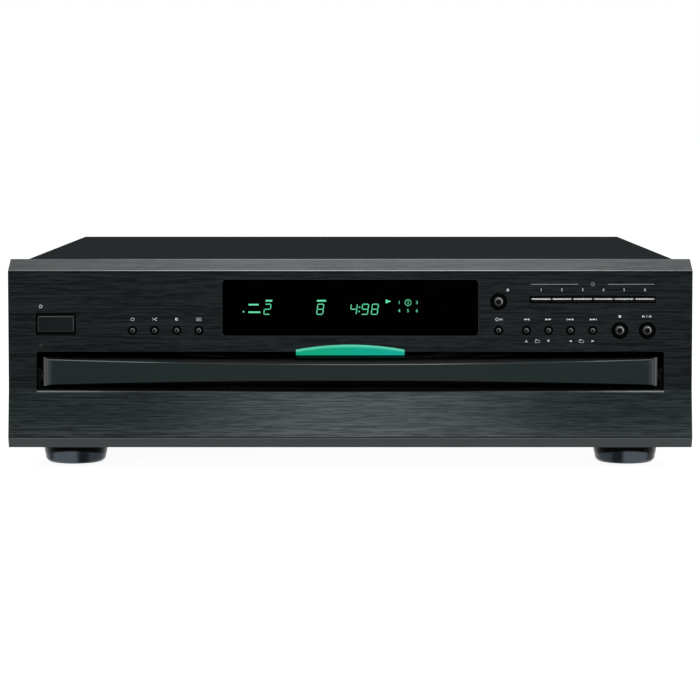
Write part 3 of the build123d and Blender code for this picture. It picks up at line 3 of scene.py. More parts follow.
import bmesh
import bpy
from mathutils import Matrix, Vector


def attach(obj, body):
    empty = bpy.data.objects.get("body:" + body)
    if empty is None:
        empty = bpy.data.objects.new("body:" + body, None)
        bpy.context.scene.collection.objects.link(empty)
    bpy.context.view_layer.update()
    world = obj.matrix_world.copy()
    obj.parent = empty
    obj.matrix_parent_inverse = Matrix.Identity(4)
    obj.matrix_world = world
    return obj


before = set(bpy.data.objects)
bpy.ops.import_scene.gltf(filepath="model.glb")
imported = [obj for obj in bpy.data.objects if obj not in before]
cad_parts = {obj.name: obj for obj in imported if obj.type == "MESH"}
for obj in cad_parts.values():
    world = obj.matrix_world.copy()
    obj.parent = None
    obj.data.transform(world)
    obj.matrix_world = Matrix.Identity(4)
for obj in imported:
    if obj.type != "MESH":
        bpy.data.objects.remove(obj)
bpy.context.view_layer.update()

MM = 0.001

# Places in millimetres, as the solids have them: X across, Y to the back, Z up
FACE_Y = -211.0
WINDOW_Y = -210.7
FOOT_X = 179.5
FOOT_TOP_Z = 14.1
STRIP_Z = 20.6
SEAM_Z = 51.5
BEVEL_Z = 126.5
TOP_Z = 133.5
SLOT_END_X = 199.6
DRAWER_END_X = 194.0
SELECT_X = [121.3 + 13.18 * n for n in range(6)]
STANDBY_X = -196.8

# Heights on the front, counted upward from its seam
UP_DRAWER = 10.65
UP_LENS = 27.4
UP_LAMP = 27.5
UP_SIGNS_LOW = 30.4
UP_SIGNS = 44.2
UP_FUNCTION_SIGNS = 44.3
UP_LARGE_SIGNS = 46.1
UP_FIGURES = 50.7
UP_WINDOW = 51.7
UP_SELECT = 56.9
UP_NUMBERS = 63.05
UP_LINE = 66.6

# Places on the back and inside
SOCKET_Z = 35.1
RED_X, WHITE_X, ORANGE_X = 150.0, 135.0, 117.0
INLET_PINS_X = (-172.3, -163.7)
BOARD_TOP_Z = 22.9
CAROUSEL_Y = -13.0
DOME_R = 27.0
PLAY_Y = 112.0
DISC_Z = 68.4
LIFT_ANGLE = 7.0
PIVOT = (17.0, 45.8)

# The camera, which sees the part as the photograph does. The photograph's width and the shift are
# in its pixels, the eye's place in metres, its dip in degrees, the rest in millimetres
PHOTO = 700
SHIFT = (-5.0, -70.0)
EYE = (0.0030, -1.8434, 0.2157)
DIP = 3.326
FOCAL = 132.37
SENSOR = 36.0


# Shader maths


class Wire:
    """A value on its way between shader nodes. Arithmetic on it adds Math nodes."""

    def __init__(self, paint, socket):
        self.paint = paint
        self.socket = socket

    def math(self, operation, *values):
        return self.paint.add("ShaderNodeMath", {"operation": operation}, dict(enumerate(values)))

    def __add__(self, other):
        return self.math("ADD", self, other)

    def __radd__(self, other):
        return self.math("ADD", other, self)

    def __sub__(self, other):
        return self.math("SUBTRACT", self, other)

    def __rsub__(self, other):
        return self.math("SUBTRACT", other, self)

    def __mul__(self, other):
        return self.math("MULTIPLY", self, other)

    def __rmul__(self, other):
        return self.math("MULTIPLY", other, self)

    def __truediv__(self, other):
        return self.math("DIVIDE", self, other)

    def __gt__(self, other):
        return self.math("GREATER_THAN", self, other)

    def __lt__(self, other):
        return self.math("LESS_THAN", self, other)

    def __mod__(self, other):
        return self.math("FLOORED_MODULO", self, other)

    def __abs__(self):
        return self.math("ABSOLUTE", self)

    def clamp(self):
        return self.paint.add("ShaderNodeClamp", {}, {0: self, 1: 0.0, 2: 1.0})


class Paint:
    """A procedural material: its nodes, and the position on the piece in millimetres."""

    def __init__(self, name, **constants):
        self.material = bpy.data.materials.new(name)
        self.material.use_nodes = True
        self.tree = self.material.node_tree
        self.tree.nodes.clear()
        self.shader = self.tree.nodes.new("ShaderNodeBsdfPrincipled")
        out = self.tree.nodes.new("ShaderNodeOutputMaterial")
        self.tree.links.new(self.shader.outputs[0], out.inputs[0])
        metres = self.add("ShaderNodeTexCoord", {}, {}, "Object")
        inputs = {0: metres, "Scale": 1 / MM}
        self.place = self.add("ShaderNodeVectorMath", {"operation": "SCALE"}, inputs)
        self.x, self.y, self.z = self.parts(self.place)
        for key, value in constants.items():
            self.set(key.replace("_", " ").title().replace("Ior", "IOR"), value)

    def add(self, kind, settings, inputs, output=0):
        """Adds one node: its settings first, then its values and links by socket."""
        node = self.tree.nodes.new(kind)
        for key, value in settings.items():
            setattr(node, key, value)
        for key, value in inputs.items():
            self.feed(node.inputs[key], value)
        return Wire(self, node.outputs[output])

    def feed(self, socket, value):
        if isinstance(value, Wire):
            self.tree.links.new(value.socket, socket)
        else:
            socket.default_value = value

    def set(self, name, value):
        self.feed(self.shader.inputs[name], value)

    def parts(self, vector):
        node = self.tree.nodes.new("ShaderNodeSeparateXYZ")
        self.tree.links.new(vector.socket, node.inputs[0])
        return [Wire(self, socket) for socket in node.outputs]

    def stretched(self, x, y, z):
        """The position with each direction scaled, for grain that runs one way."""
        inputs = {0: self.place, 1: (x, y, z)}
        return self.add("ShaderNodeVectorMath", {"operation": "MULTIPLY"}, inputs)

    def noise(self, x, y=None, z=None, detail=2.0, rough=0.5):
        """Noise from 0 to 1; x, y and z are its cells per millimetre."""
        where = self.stretched(x, x if y is None else y, x if z is None else z)
        inputs = {"Vector": where, "Scale": 1.0, "Detail": detail, "Roughness": rough}
        return self.add("ShaderNodeTexNoise", {}, inputs, "Fac")

    def mix(self, factor, low, high):
        """The colour low where factor is 0, and high where it is 1."""
        inputs = {0: factor, 6: low, 7: high}
        return self.add("ShaderNodeMix", {"data_type": "RGBA"}, inputs, 2)

    def rise(self, value, low, high):
        """0 below low, 1 above high, and a smooth step between them."""
        inputs = {"Value": value, "From Min": low, "From Max": high}
        return self.add("ShaderNodeMapRange", {"interpolation_type": "SMOOTHSTEP"}, inputs)

    def band(self, value, low, high, soft):
        return self.rise(value, low - soft, low) * (1 - self.rise(value, high, high + soft))

    def from_axis(self, u, v, at_u, at_v):
        """Distance in millimetres from an axis that crosses the plane of u and v."""
        du, dv = u - at_u, v - at_v
        return self.root(du * du + dv * dv)

    def root(self, value):
        return self.add("ShaderNodeMath", {"operation": "SQRT"}, {0: value})

    def bump(self, height, strength, depth):
        """Height from 0 to 1 stands for depth in millimetres."""
        inputs = {"Strength": strength, "Distance": depth * MM, "Height": height}
        self.set("Normal", self.add("ShaderNodeBump", {}, inputs))


def tone(red, green, blue):
    """A colour as seen on a screen, from 0 to 255, as the shader's own numbers."""
    linear = []
    for value in (red, green, blue):
        c = value / 255
        linear.append(c / 12.92 if c <= 0.04045 else ((c + 0.055) / 1.055) ** 2.4)
    return (*linear, 1.0)


# Finishes of the front


def level_grain(p):
    """Hairlines that run level along the front: long ones, and shorter ones among them."""
    long = p.noise(0.03, 0.3, 1.45, 0.0)
    short = p.noise(0.11, 0.3, 1.75, 0.0)
    return p.rise(long * 0.55 + short * 0.45, 0.36, 0.64)


def brushed_front():
    """Black anodised plate with a level grain; its bevel is painted lighter with a painted reflection
    in the middle, its edges along the bevel carry painted highlights and a painted dark line, and its
    openings are painted dark as shade.
    """
    p = Paint("brushed_front", metallic=0.9, specular_ior_level=0.15)
    grain = level_grain(p)
    bevel = p.rise(p.z, BEVEL_Z - 0.05, BEVEL_Z + 0.05)
    glare_x = 10.0
    middle = 1 - p.rise(abs(p.x - glare_x), 60.0, 230.0)
    colour = p.mix(grain, tone(14, 17, 18), tone(28, 32, 33))
    # Painted light: the upward bevel gets a lighter tone than the face, with a painted reflection of
    # a lamp brightest around glare_x.
    slope = p.mix(middle, tone(46, 50, 51), tone(56, 60, 61))
    colour = p.mix(bevel, colour, p.mix(grain * 0.12, slope, tone(40, 44, 45)))
    # Painted highlight: a bright line along the bevel's lower edge, strongest in the middle.
    line = p.band(p.z, BEVEL_Z + 0.1, BEVEL_Z + 0.5, 0.08)
    colour = p.mix(line * (0.35 + middle * 0.65), colour, tone(124, 128, 129))
    # Painted shade: a dark line just below the bevel's lower edge.
    under = p.band(p.z, BEVEL_Z - 0.7, BEVEL_Z, 0.08)
    colour = p.mix(under, colour, tone(2, 2, 2))
    # Painted highlight: a bright line along the bevel's top edge, fading towards the ends.
    rim = p.rise(p.z, TOP_Z - 0.5, TOP_Z - 0.4) * (0.05 + middle * 0.55)
    colour = p.mix(rim, colour, tone(96, 100, 101))
    # Painted shade: the plate behind its front face, such as the walls of its openings, is painted
    # near black.
    inside = p.rise(p.y, FACE_Y + 0.15, FACE_Y + 0.4) * (1 - bevel)
    p.set("Base Color", p.mix(inside, colour, tone(3, 3, 3)))
    p.set("Roughness", 0.36 + grain * 0.12)
    p.bump(grain, 0.2, 0.03)
    return p.material


def moulded_front():
    """Satin black moulding with the same grain, with a painted reflection that makes it lighter in
    its middle and low down, painted highlights on its sill's ends and along the strip's edge, and
    painted shade inside the slot.
    """
    p = Paint("moulded_front", metallic=0.85, specular_ior_level=0.15)
    grain = level_grain(p)
    # Painted reflection of a lamp: the front is painted lighter around glare_x and low down.
    low = 1 - p.rise(p.z, STRIP_Z, STRIP_Z + 16.0)
    glare_x = 5.0
    middle = 1 - p.rise(abs(p.x - glare_x), 15.0, 150.0)
    dull = p.mix(grain, tone(18, 22, 22), tone(35, 42, 42))
    glare_colour = p.mix(grain, tone(42, 46, 47), tone(71, 76, 77))
    colour = p.mix((middle * 0.9 + low * 0.25).clamp(), dull, glare_colour)
    inner = abs(p.x) < SLOT_END_X
    # Painted highlight: the sill's sloping lip is painted lighter towards its ends.
    lip = p.mix(p.rise(abs(p.x), 40.0, 110.0), tone(22, 24, 24), tone(54, 56, 56))
    lip = p.mix(p.rise(abs(p.x), 130.0, 192.0), lip, tone(104, 107, 108))
    colour = p.mix(p.band(p.z, SEAM_Z - 2.15, SEAM_Z - 1.2, 0.1) * inner, colour, lip)
    # Painted shade: the sill behind the face, inside the slot, is painted near black.
    sill = p.band(p.z, SEAM_Z - 1.2, SEAM_Z - 0.1, 0.1) * (p.y > FACE_Y + 0.1) * inner
    colour = p.mix(sill, colour, tone(7, 8, 8))
    strip = 1 - p.rise(p.z, STRIP_Z - 0.1, STRIP_Z + 0.1)
    colour = p.mix(strip, colour, tone(66, 69, 70))
    # Painted highlight: a light line along the strip's upper edge.
    edge = p.band(p.z, STRIP_Z - 0.7, STRIP_Z - 0.15, 0.1)
    colour = p.mix(edge, colour, tone(80, 84, 84))
    joint = p.band(p.z, STRIP_Z + 0.05, STRIP_Z + 0.55, 0.08)
    seam = p.band(p.z, SEAM_Z - 0.5, SEAM_Z - 0.05, 0.05) * (abs(p.x) > SLOT_END_X)
    # Painted shade: the surfaces inside the slot, behind the face and above the seam, are painted
    # near black.
    behind = p.rise(p.y, FACE_Y + 2.0, FACE_Y + 2.4) * (p.z > SEAM_Z)
    dark = (joint * 0.85 + seam * 0.6 + behind).clamp()
    p.set("Base Color", p.mix(dark, colour, tone(4, 5, 5)))
    p.set("Roughness", 0.4 + grain * 0.1)
    p.bump(grain, 0.2, 0.03)
    return p.material


def drawer_bar():
    """The drawer's bowed front: satin face, bevels above and below it darkened with painted shade, a
    painted highlight along the arris, and ends painted lighter.
    """
    p = Paint("drawer_bar", specular_ior_level=0.15)
    fine = p.noise(0.03, 1.0, 1.2, 2.0)
    half_height, bow = 5.15, 0.0000781
    above = p.z - (SEAM_Z + UP_DRAWER)
    off = abs(above) - (half_height + p.x * p.x * bow)
    ends = p.rise(abs(p.x), DRAWER_END_X - 5.0, DRAWER_END_X)
    colour = p.mix(fine, tone(26, 32, 32), tone(31, 38, 38))
    # Painted light: the rounded ends are painted lighter.
    colour = p.mix(ends, colour, tone(64, 66, 68))
    # Painted light: the end facets are painted bright.
    facet = p.rise(abs(p.x), DRAWER_END_X, DRAWER_END_X + 0.3)
    colour = p.mix(facet, colour, tone(108, 110, 112))
    # Painted highlight: a patchy bright line along the upper arris.
    arris = p.band(off, -0.35, 0.0, 0.08) * (above > 0.0) * (1 - ends)
    patchy = p.rise(p.noise(0.016, detail=1.0), 0.35, 0.6)
    colour = p.mix(arris * (0.15 + patchy * 0.7), colour, tone(112, 115, 116))
    # Painted shade: the upper bevel darkens from the face's tone to near black, the lower bevel is
    # near black throughout.
    slope = p.mix(p.rise(off, 0.0, 3.2), tone(26, 29, 29), tone(2, 2, 2))
    slope = p.mix((above > 0.0) * 1.0, tone(2, 2, 2), slope)
    p.set("Base Color", p.mix(p.rise(off, 0.05, 0.2) * (1 - ends), colour, slope))
    p.set("Metallic", 0.85 - facet * 0.85)
    p.set("Roughness", 0.32 + fine * 0.1)
    p.bump(fine, 0.15, 0.02)
    return p.material


def smoked_window():
    """Nearly black glossy plastic."""
    p = Paint("smoked_window", specular_ior_level=0.002)
    haze = p.noise(0.15, detail=2.0)
    p.set("Base Color", p.mix(haze, tone(0, 0, 0), tone(2, 1, 1)))
    p.set("Roughness", 0.06 + haze * 0.04)
    return p.material


def lit_lens():
    """Green light guide: brighter along its upper edge, bluer to the right."""
    p = Paint("lit_lens", emission_strength=0.9, specular_ior_level=0.05)
    half_width, arch = 36.0, 0.0026
    across = p.rise(p.x, -half_width, half_width)
    crown = SEAM_Z + UP_LENS - p.x * p.x * arch
    upper = p.rise(p.z - crown, -1.5, 0.0)
    body = p.mix(across, tone(4, 160, 116), tone(10, 160, 144))
    colour = p.mix(upper, body, tone(92, 205, 172))
    cloud = p.noise(0.12, detail=1.0)
    colour = p.mix(cloud * 0.3, colour, tone(4, 132, 100))
    p.set("Base Color", p.mix(0.8, colour, tone(2, 20, 15)))
    p.set("Emission Color", colour)
    p.set("Roughness", 0.25 + cloud * 0.1)
    return p.material


def round_cap(name, solid):
    """A polished black button: a domed middle with a painted highlight along its edge, in a dull
    black ring darkened further by painted shade.
    """
    p = Paint(name, specular_ior_level=0.02)
    middle, size = box_of(solid)
    flange = 1.0
    reach = p.from_axis(p.x, p.z, middle.x, middle.z) / (size.x / 2 - flange)
    smear = p.noise(0.6, detail=2.0)
    dome = 1 - p.rise(reach, 0.58, 0.62)
    # Painted highlight: a bright arc round the dome's edge, strongest at its upper right.
    edge = p.band(reach, 0.36, 0.52, 0.08)
    lit = p.rise((p.x - middle.x) * 0.7 + (p.z - middle.z), -1.0, 1.2)
    dark = p.mix(smear, tone(8, 8, 8), tone(16, 16, 17))
    dome_with_highlight = p.mix(dome, tone(1, 1, 1), p.mix(edge * (0.25 + lit * 0.75), dark, tone(104, 106, 107)))
    # Painted shade: the ring outside the dome and the parts inside the button's hole are painted near
    # black.
    proud = 1 - p.rise(p.y, FACE_Y + 0.7, FACE_Y + 0.8)
    p.set("Base Color", p.mix(proud, tone(1, 1, 1), dome_with_highlight))
    p.set("Metallic", dome * proud * 0.8)
    p.set("Roughness", 0.5 - dome * 0.25 + smear * 0.08)
    return p.material


def box_of(solid):
    """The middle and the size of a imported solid's box, in millimetres."""
    corners = [solid.matrix_world @ Vector(corner) for corner in solid.bound_box]
    low = Vector([min(corner[n] for corner in corners) for n in range(3)])
    high = Vector([max(corner[n] for corner in corners) for n in range(3)])
    return (low + high) / 2 / MM, (high - low) / MM


def bar_cap():
    """Black bar button with one bright line along its upper part, a painted highlight."""
    p = Paint("bar_cap", specular_ior_level=0.1)
    smear = p.noise(0.4, detail=2.0)
    # Painted highlight: a bright metallic line along the cap's upper part.
    line = p.band(p.z, SEAM_Z + UP_SELECT + 0.15, SEAM_Z + UP_SELECT + 0.6, 0.08)
    line = line * (1 - p.rise(p.y, FACE_Y - 0.6, FACE_Y - 0.4))
    black = p.mix(smear, tone(4, 4, 4), tone(10, 11, 11))
    p.set("Base Color", p.mix(line, black, p.mix(smear, tone(176, 178, 178), tone(206, 208, 208))))
    p.set("Metallic", line)
    p.set("Roughness", 0.3 + smear * 0.1)
    return p.material


def satin_cap():
    """The large button: satin black with a fine level grain and edges painted lighter as highlights.
    """
    p = Paint("satin_cap", specular_ior_level=0.15, metallic=0.8)
    fine = p.noise(0.05, 1.0, 1.6, 2.0)
    colour = p.mix(fine, tone(13, 17, 17), tone(20, 25, 25))
    # Painted highlight: the cap's edges are painted lighter.
    edge = p.rise(p.y, FACE_Y - 0.85, FACE_Y - 0.7) * (1 - p.rise(p.y, FACE_Y - 0.1, FACE_Y + 0.1))
    p.set("Base Color", p.mix(edge, colour, tone(62, 64, 65)))
    p.set("Roughness", 0.34 + fine * 0.12)
    p.bump(fine, 0.15, 0.01)
    return p.material


def print_ink(name, low, high):
    """Matt printing ink, unevenly worn."""
    p = Paint(name, specular_ior_level=0.1)
    worn = p.noise(2.0, detail=2.0)
    p.set("Base Color", p.mix(worn, tone(*low), tone(*high)))
    p.set("Roughness", 0.6 + worn * 0.1)
    return p.material


def tube_glow():
    """Lit segments of the display, a little brighter in their middles."""
    p = Paint("tube_glow", emission_strength=1.0, specular_ior_level=0.0)
    patch = p.noise(0.9, detail=1.0)
    glow = p.mix(patch, tone(70, 214, 150), tone(128, 240, 188))
    p.set("Base Color", tone(6, 20, 14))
    p.set("Emission Color", glow)
    p.set("Roughness", 0.5 + patch * 0.05)
    return p.material


def standby_lamp():
    """Dark red lens, unlit."""
    p = Paint("standby_lamp", specular_ior_level=0.3)
    depth = p.noise(1.4, detail=1.0)
    p.set("Base Color", p.mix(depth, tone(22, 8, 8), tone(36, 13, 12)))
    p.set("Roughness", 0.12 + depth * 0.06)
    return p.material


def window_edge():
    """The window's narrow dark rim, a little lighter than the face as a painted highlight."""
    p = Paint("window_edge", metallic=0.8, specular_ior_level=0.1)
    fine = p.noise(0.2, 1.0, 3.0)
    # Painted highlight: the rim's tone is a little lighter than the face's.
    p.set("Base Color", p.mix(fine, tone(24, 27, 28), tone(40, 43, 44)))
    p.set("Roughness", 0.35 + fine * 0.1)
    return p.material


# Finishes of the casing


def cover_paint():
    """Black sheet steel under a fine crinkled paint."""
    p = Paint("cover_paint", specular_ior_level=0.0)
    grit = p.noise(3.0, detail=3.0, rough=0.6)
    cloud = p.noise(0.02, detail=3.0)
    colour = p.mix(cloud, tone(31, 35, 36), tone(37, 41, 42))
    p.set("Base Color", p.mix(grit * 0.5, colour, tone(50, 54, 55)))
    p.set("Roughness", 0.7 + grit * 0.15)
    p.bump(grit, 0.3, 0.04)
    return p.material


def zinc_sheet():
    """Plated steel: faint spangle and rolling marks."""
    p = Paint("zinc_sheet", metallic=0.9)
    where = p.stretched(0.12, 0.12, 0.12)
    cells = p.add("ShaderNodeTexVoronoi", {}, {"Vector": where, "Scale": 1.0}, "Distance")
    rolled = p.noise(0.9, 0.03, 0.9, 3.0)
    spangle = cells * 0.6 + rolled * 0.4
    p.set("Base Color", p.mix(spangle, tone(142, 146, 146), tone(186, 188, 186)))
    p.set("Roughness", 0.32 + rolled * 0.2)
    p.bump(rolled, 0.15, 0.02)
    return p.material


def foot_gloss():
    """Gloss black moulding with painted reflections of the table in broad patches, a painted shadow
    from the case over its top, and a dull sole.
    """
    p = Paint("foot_gloss", metallic=0.8, specular_ior_level=0.1)
    wave = p.noise(0.1, detail=2.0)
    outward = abs(p.x) - FOOT_X
    # Painted reflections: broad light patches where the glossy foot would mirror the table.
    patch = p.band(outward, -1.0, 11.0, 4.0) + p.band(outward, -22.0, -12.0, 4.0) * 0.4
    # Painted shadow: the foot's top and sides darken under the case.
    shade = 1 - p.rise(p.z + outward * outward * 0.008, FOOT_TOP_Z - 6.4, FOOT_TOP_Z - 5.0)
    sole = 1 - p.rise(p.z, 0.1, 0.9)
    glow = (patch * shade * (0.85 + wave * 0.3)).clamp()
    colour = p.mix(shade, tone(3, 3, 4), tone(26, 30, 35))
    p.set("Base Color", p.mix(glow * (1 - sole), colour, tone(78, 86, 93)))
    p.set("Roughness", 0.2 + wave * 0.08 + sole * 0.5)
    return p.material


def black_screw():
    """Blackened steel."""
    p = Paint("black_screw", metallic=0.8)
    oxide = p.noise(1.6, detail=3.0)
    p.set("Base Color", p.mix(oxide, tone(34, 34, 35), tone(66, 66, 67)))
    p.set("Roughness", 0.34 + oxide * 0.2)
    return p.material


def socket_block():
    """Black socket bodies; the pin jacks' barrels are plated, each on a coloured ring."""
    p = Paint("socket_block", specular_ior_level=0.4)
    ring_back, ring_front, reach = 206.2, 207.05, 6.0
    outside = p.rise(p.y, ring_front, ring_front + 0.1)
    ring = p.rise(p.y, ring_back, ring_back + 0.05) * (1 - outside)
    grain = p.noise(1.2, detail=2.0)
    black = p.mix(grain, tone(18, 18, 19), tone(28, 28, 29))
    red, white, orange = (
        p.band(p.x, x - reach, x + reach, 0.1) for x in (RED_X, WHITE_X, ORANGE_X)
    )
    plated = outside * (red + white + orange).clamp()
    colour = p.mix(ring * red, black, tone(176, 30, 26))
    colour = p.mix(ring * white, colour, tone(214, 214, 208))
    colour = p.mix(ring * orange, colour, tone(214, 104, 28))
    p.set("Base Color", p.mix(plated, colour, tone(208, 206, 200)))
    p.set("Metallic", plated)
    p.set("Roughness", 0.42 - plated * 0.2 + grain * 0.06)
    return p.material


def inlet_mould():
    """Black inlet with bright pins and tags."""
    p = Paint("inlet_mould", specular_ior_level=0.35)
    grain = p.noise(1.5, detail=2.0)
    pin_r, pins_back, tags_front = 1.3, 193.1, 188.9
    left, right = (p.from_axis(p.x, p.z, x, SOCKET_Z) for x in INLET_PINS_X)
    pins = ((left < pin_r) + (right < pin_r)).clamp() * (p.y > pins_back)
    tags = p.y < tags_front
    bright = (pins + tags).clamp()
    black = p.mix(grain, tone(16, 16, 17), tone(27, 27, 28))
    p.set("Base Color", p.mix(bright, black, tone(206, 204, 198)))
    p.set("Metallic", bright)
    p.set("Roughness", 0.5 - bright * 0.25 + grain * 0.08)
    return p.material


# Finishes of the inside


def moulded(name, low, high, rough, level=0.3):
    """A moulded plastic with a fine spark-eroded texture."""
    p = Paint(name, specular_ior_level=level)
    fine = p.noise(2.5, detail=2.0)
    cloud = p.noise(0.03, detail=2.0)
    p.set("Base Color", p.mix(fine * 0.4 + cloud * 0.6, tone(*low), tone(*high)))
    p.set("Roughness", rough + fine * 0.12)
    p.bump(fine, 0.2, 0.02)
    return p.material


def carousel_plastic():
    """Black plastic: fine satin on the lands and floor, polished on the domed middle."""
    p = Paint("carousel_plastic", specular_ior_level=0.35)
    fine = p.noise(2.5, detail=2.0)
    cloud = p.noise(0.03, detail=2.0)
    dome = 1 - p.rise(p.from_axis(p.x, p.y, 0.0, CAROUSEL_Y), DOME_R - 0.5, DOME_R + 0.5)
    colour = p.mix(fine * 0.4 + cloud * 0.6, tone(18, 19, 20), tone(28, 29, 30))
    p.set("Base Color", p.mix(dome, colour, tone(12, 13, 14)))
    p.set("Roughness", 0.42 + fine * 0.1 - dome * 0.2)
    p.bump(fine * (1 - dome), 0.2, 0.02)
    return p.material


def acetal():
    """Natural white gear plastic, a little greased where it works."""
    p = Paint("acetal", specular_ior_level=0.4)
    cloud = p.noise(0.25, detail=2.0)
    grease = p.rise(p.noise(0.12, detail=3.0), 0.55, 0.72)
    colour = p.mix(cloud, tone(222, 219, 208), tone(236, 234, 226))
    p.set("Base Color", p.mix(grease * 0.35, colour, tone(206, 200, 180)))
    p.set("Roughness", 0.42 - grease * 0.22)
    p.bump(cloud, 0.1, 0.02)
    return p.material


def plated_can(name, axis="z"):
    """A motor's plated can, turned marks round it."""
    p = Paint(name, metallic=0.95)
    along = {"x": p.x, "y": p.y, "z": p.z}[axis]
    inputs = {"W": along * 4.0, "Detail": 3.0}
    lines = p.add("ShaderNodeTexNoise", {"noise_dimensions": "1D"}, inputs, "Fac")
    patch = p.noise(0.2, detail=2.0)
    p.set("Base Color", p.mix(patch, tone(164, 164, 162), tone(190, 190, 187)))
    p.set("Roughness", 0.22 + lines * 0.2)
    p.bump(lines, 0.15, 0.01)
    return p.material


def bright_rod(name, thread=False):
    """Ground steel rod, or the same with a turned thread."""
    p = Paint(name, metallic=1.0)
    fine = p.noise(3.0, 0.6, 3.0, 2.0)
    p.set("Base Color", p.mix(fine, tone(204, 204, 204), tone(224, 224, 222)))
    p.set("Roughness", 0.12 + fine * 0.08)
    if thread:
        ridge = abs((p.y * 0.5) % 1.0 - 0.5) * 2.0
        p.bump(ridge, 0.8, 0.25)
    return p.material


def rubber(name, low, high):
    """Dull rubber with a bloom."""
    p = Paint(name, specular_ior_level=0.25)
    bloom = p.noise(0.7, detail=3.0)
    p.set("Base Color", p.mix(bloom, tone(*low), tone(*high)))
    p.set("Roughness", 0.7 + bloom * 0.15)
    p.bump(bloom, 0.15, 0.03)
    return p.material


def board(name, top_z):
    """Green board: tracks on the board's plane, black and grey parts standing on it."""
    p = Paint(name, specular_ior_level=0.4)
    grid = p.add("ShaderNodeTexBrick", {"offset": 0.37}, {
        "Vector": p.stretched(0.22, 0.22, 0.22), "Scale": 1.0,
        "Color1": (0, 0, 0, 1), "Color2": (0.2, 0.2, 0.2, 1), "Mortar": (1, 1, 1, 1),
        "Mortar Size": 0.07, "Brick Width": 0.9, "Row Height": 0.35,
    })
    resist = p.mix(p.noise(0.1, detail=2.0), tone(16, 74, 42), tone(24, 92, 54))
    tracks = p.mix(grid, resist, tone(58, 128, 74))
    raised = p.rise(p.z, top_z + 0.2, top_z + 0.3)
    tall = p.rise(p.z, top_z + 12.0, top_z + 12.2)
    parts = p.mix(tall, tone(24, 24, 26), tone(120, 122, 124))
    p.set("Base Color", p.mix(raised, tracks, parts))
    p.set("Metallic", raised * tall * 0.8)
    p.set("Roughness", 0.3 + raised * 0.2)
    return p.material


def control_board_finish():
    """Green board on edge with dark switches; the glass display tube stands before it."""
    p = Paint("control_board_finish", specular_ior_level=0.45)
    tube_reach, tube_foot_z = 68.0, SEAM_Z + 35.0
    tube_back, tube_front, board_front = -193.9, -196.8, -195.8
    tube = p.band(p.x, -tube_reach, tube_reach, 0.1) * (p.z > tube_foot_z) * (p.y < tube_back)
    front = p.y < tube_front
    resist = p.mix(p.noise(0.12, detail=2.0), tone(16, 74, 42), tone(24, 92, 54))
    switch = p.mix(p.noise(1.0, detail=1.0), tone(22, 22, 24), tone(34, 34, 36))
    colour = p.mix((p.y < board_front) * 1.0, resist, switch)
    glass = p.mix(front * 1.0, tone(36, 38, 36), tone(20, 26, 24))
    p.set("Base Color", p.mix(tube, colour, glass))
    p.set("Roughness", 0.4 - tube * 0.3)
    return p.material


def transformer_finish():
    """Stacked laminations, a taped copper coil and a plated frame."""
    p = Paint("transformer_finish")
    core_front, core_back = 143.7, 168.3
    sheets = abs((p.y * 1.4) % 1.0 - 0.5) * 2.0
    coil = ((p.y > core_back) + (p.y < core_front)).clamp()
    turns = abs((p.z * 1.1) % 1.0 - 0.5) * 2.0
    iron = p.mix(sheets, tone(58, 50, 44), tone(104, 96, 88))
    tape = p.mix(turns, tone(196, 158, 44), tone(222, 186, 74))
    p.set("Base Color", p.mix(coil, iron, tape))
    p.set("Metallic", 0.7 - coil * 0.7)
    p.set("Roughness", 0.4 + sheets * 0.1)
    p.bump(sheets * (1 - coil) + turns * coil, 0.4, 0.1)
    return p.material


def sled_finish():
    """Black die-cast sled; the lens on top is clear blue glass in a pale holder."""
    p = Paint("sled_finish", specular_ior_level=0.5)
    cast = p.noise(2.0, detail=2.0)
    inmost_track, lens_r, holder_r = 23.0, 3.0, 5.6
    lens_y, lens_z = let_down(PLAY_Y + inmost_track, DISC_Z)
    near = 1 - p.rise(p.from_axis(p.x, p.y, 0.0, lens_y), lens_r, lens_r + 0.15)
    holder = 1 - p.rise(p.from_axis(p.x, p.y, 0.0, lens_y), holder_r, holder_r + 0.15)
    high = p.rise(p.z, lens_z - 3.2, lens_z - 3.0)
    metal = p.mix(cast, tone(40, 40, 42), tone(56, 56, 58))
    colour = p.mix(holder * high, metal, tone(186, 186, 180))
    p.set("Base Color", p.mix(near * high, colour, tone(66, 84, 150)))
    p.set("Roughness", 0.45 - near * high * 0.4)
    p.bump(cast, 0.15, 0.02)
    return p.material


def let_down(y, z):
    """Where a point of the raised pickup unit lies at rest."""
    a = -radians(LIFT_ANGLE)
    dy, dz = y - PIVOT[0], z - PIVOT[1]
    return PIVOT[0] + dy * cos(a) - dz * sin(a), PIVOT[1] + dy * sin(a) + dz * cos(a)


# Shapes that lie flat on a surface facing the front, as outlines of (x, z) in millimetres, with z
# counted upward from the seam


def bar(x, z, width, height):
    w, h = width / 2, height / 2
    return [(x - w, z - h), (x + w, z - h), (x + w, z + h), (x - w, z + h)]


def arrow(x, z, width, height, way):
    """A filled triangle that points right, left, up or down."""
    w, h = width / 2, height / 2
    corners = {
        "right": [(-w, -h), (w, 0), (-w, h)],
        "left": [(w, -h), (w, h), (-w, 0)],
        "up": [(-w, -h), (w, -h), (0, h)],
        "down": [(-w, h), (0, -h), (w, h)],
    }[way]
    return [(x + u, z + v) for u, v in corners]


def arc(x, z, inner, outer, start=0.0, end=360.0, steps=28):
    """A ring, or part of one, as four-sided pieces."""
    cells = []
    for n in range(steps):
        a = radians(start + (end - start) * n / steps)
        b = radians(start + (end - start) * (n + 1) / steps)
        ring = [(inner, a), (outer, a), (outer, b), (inner, b)]
        cells.append([(x + r * cos(t), z + r * sin(t)) for r, t in ring])
    return cells


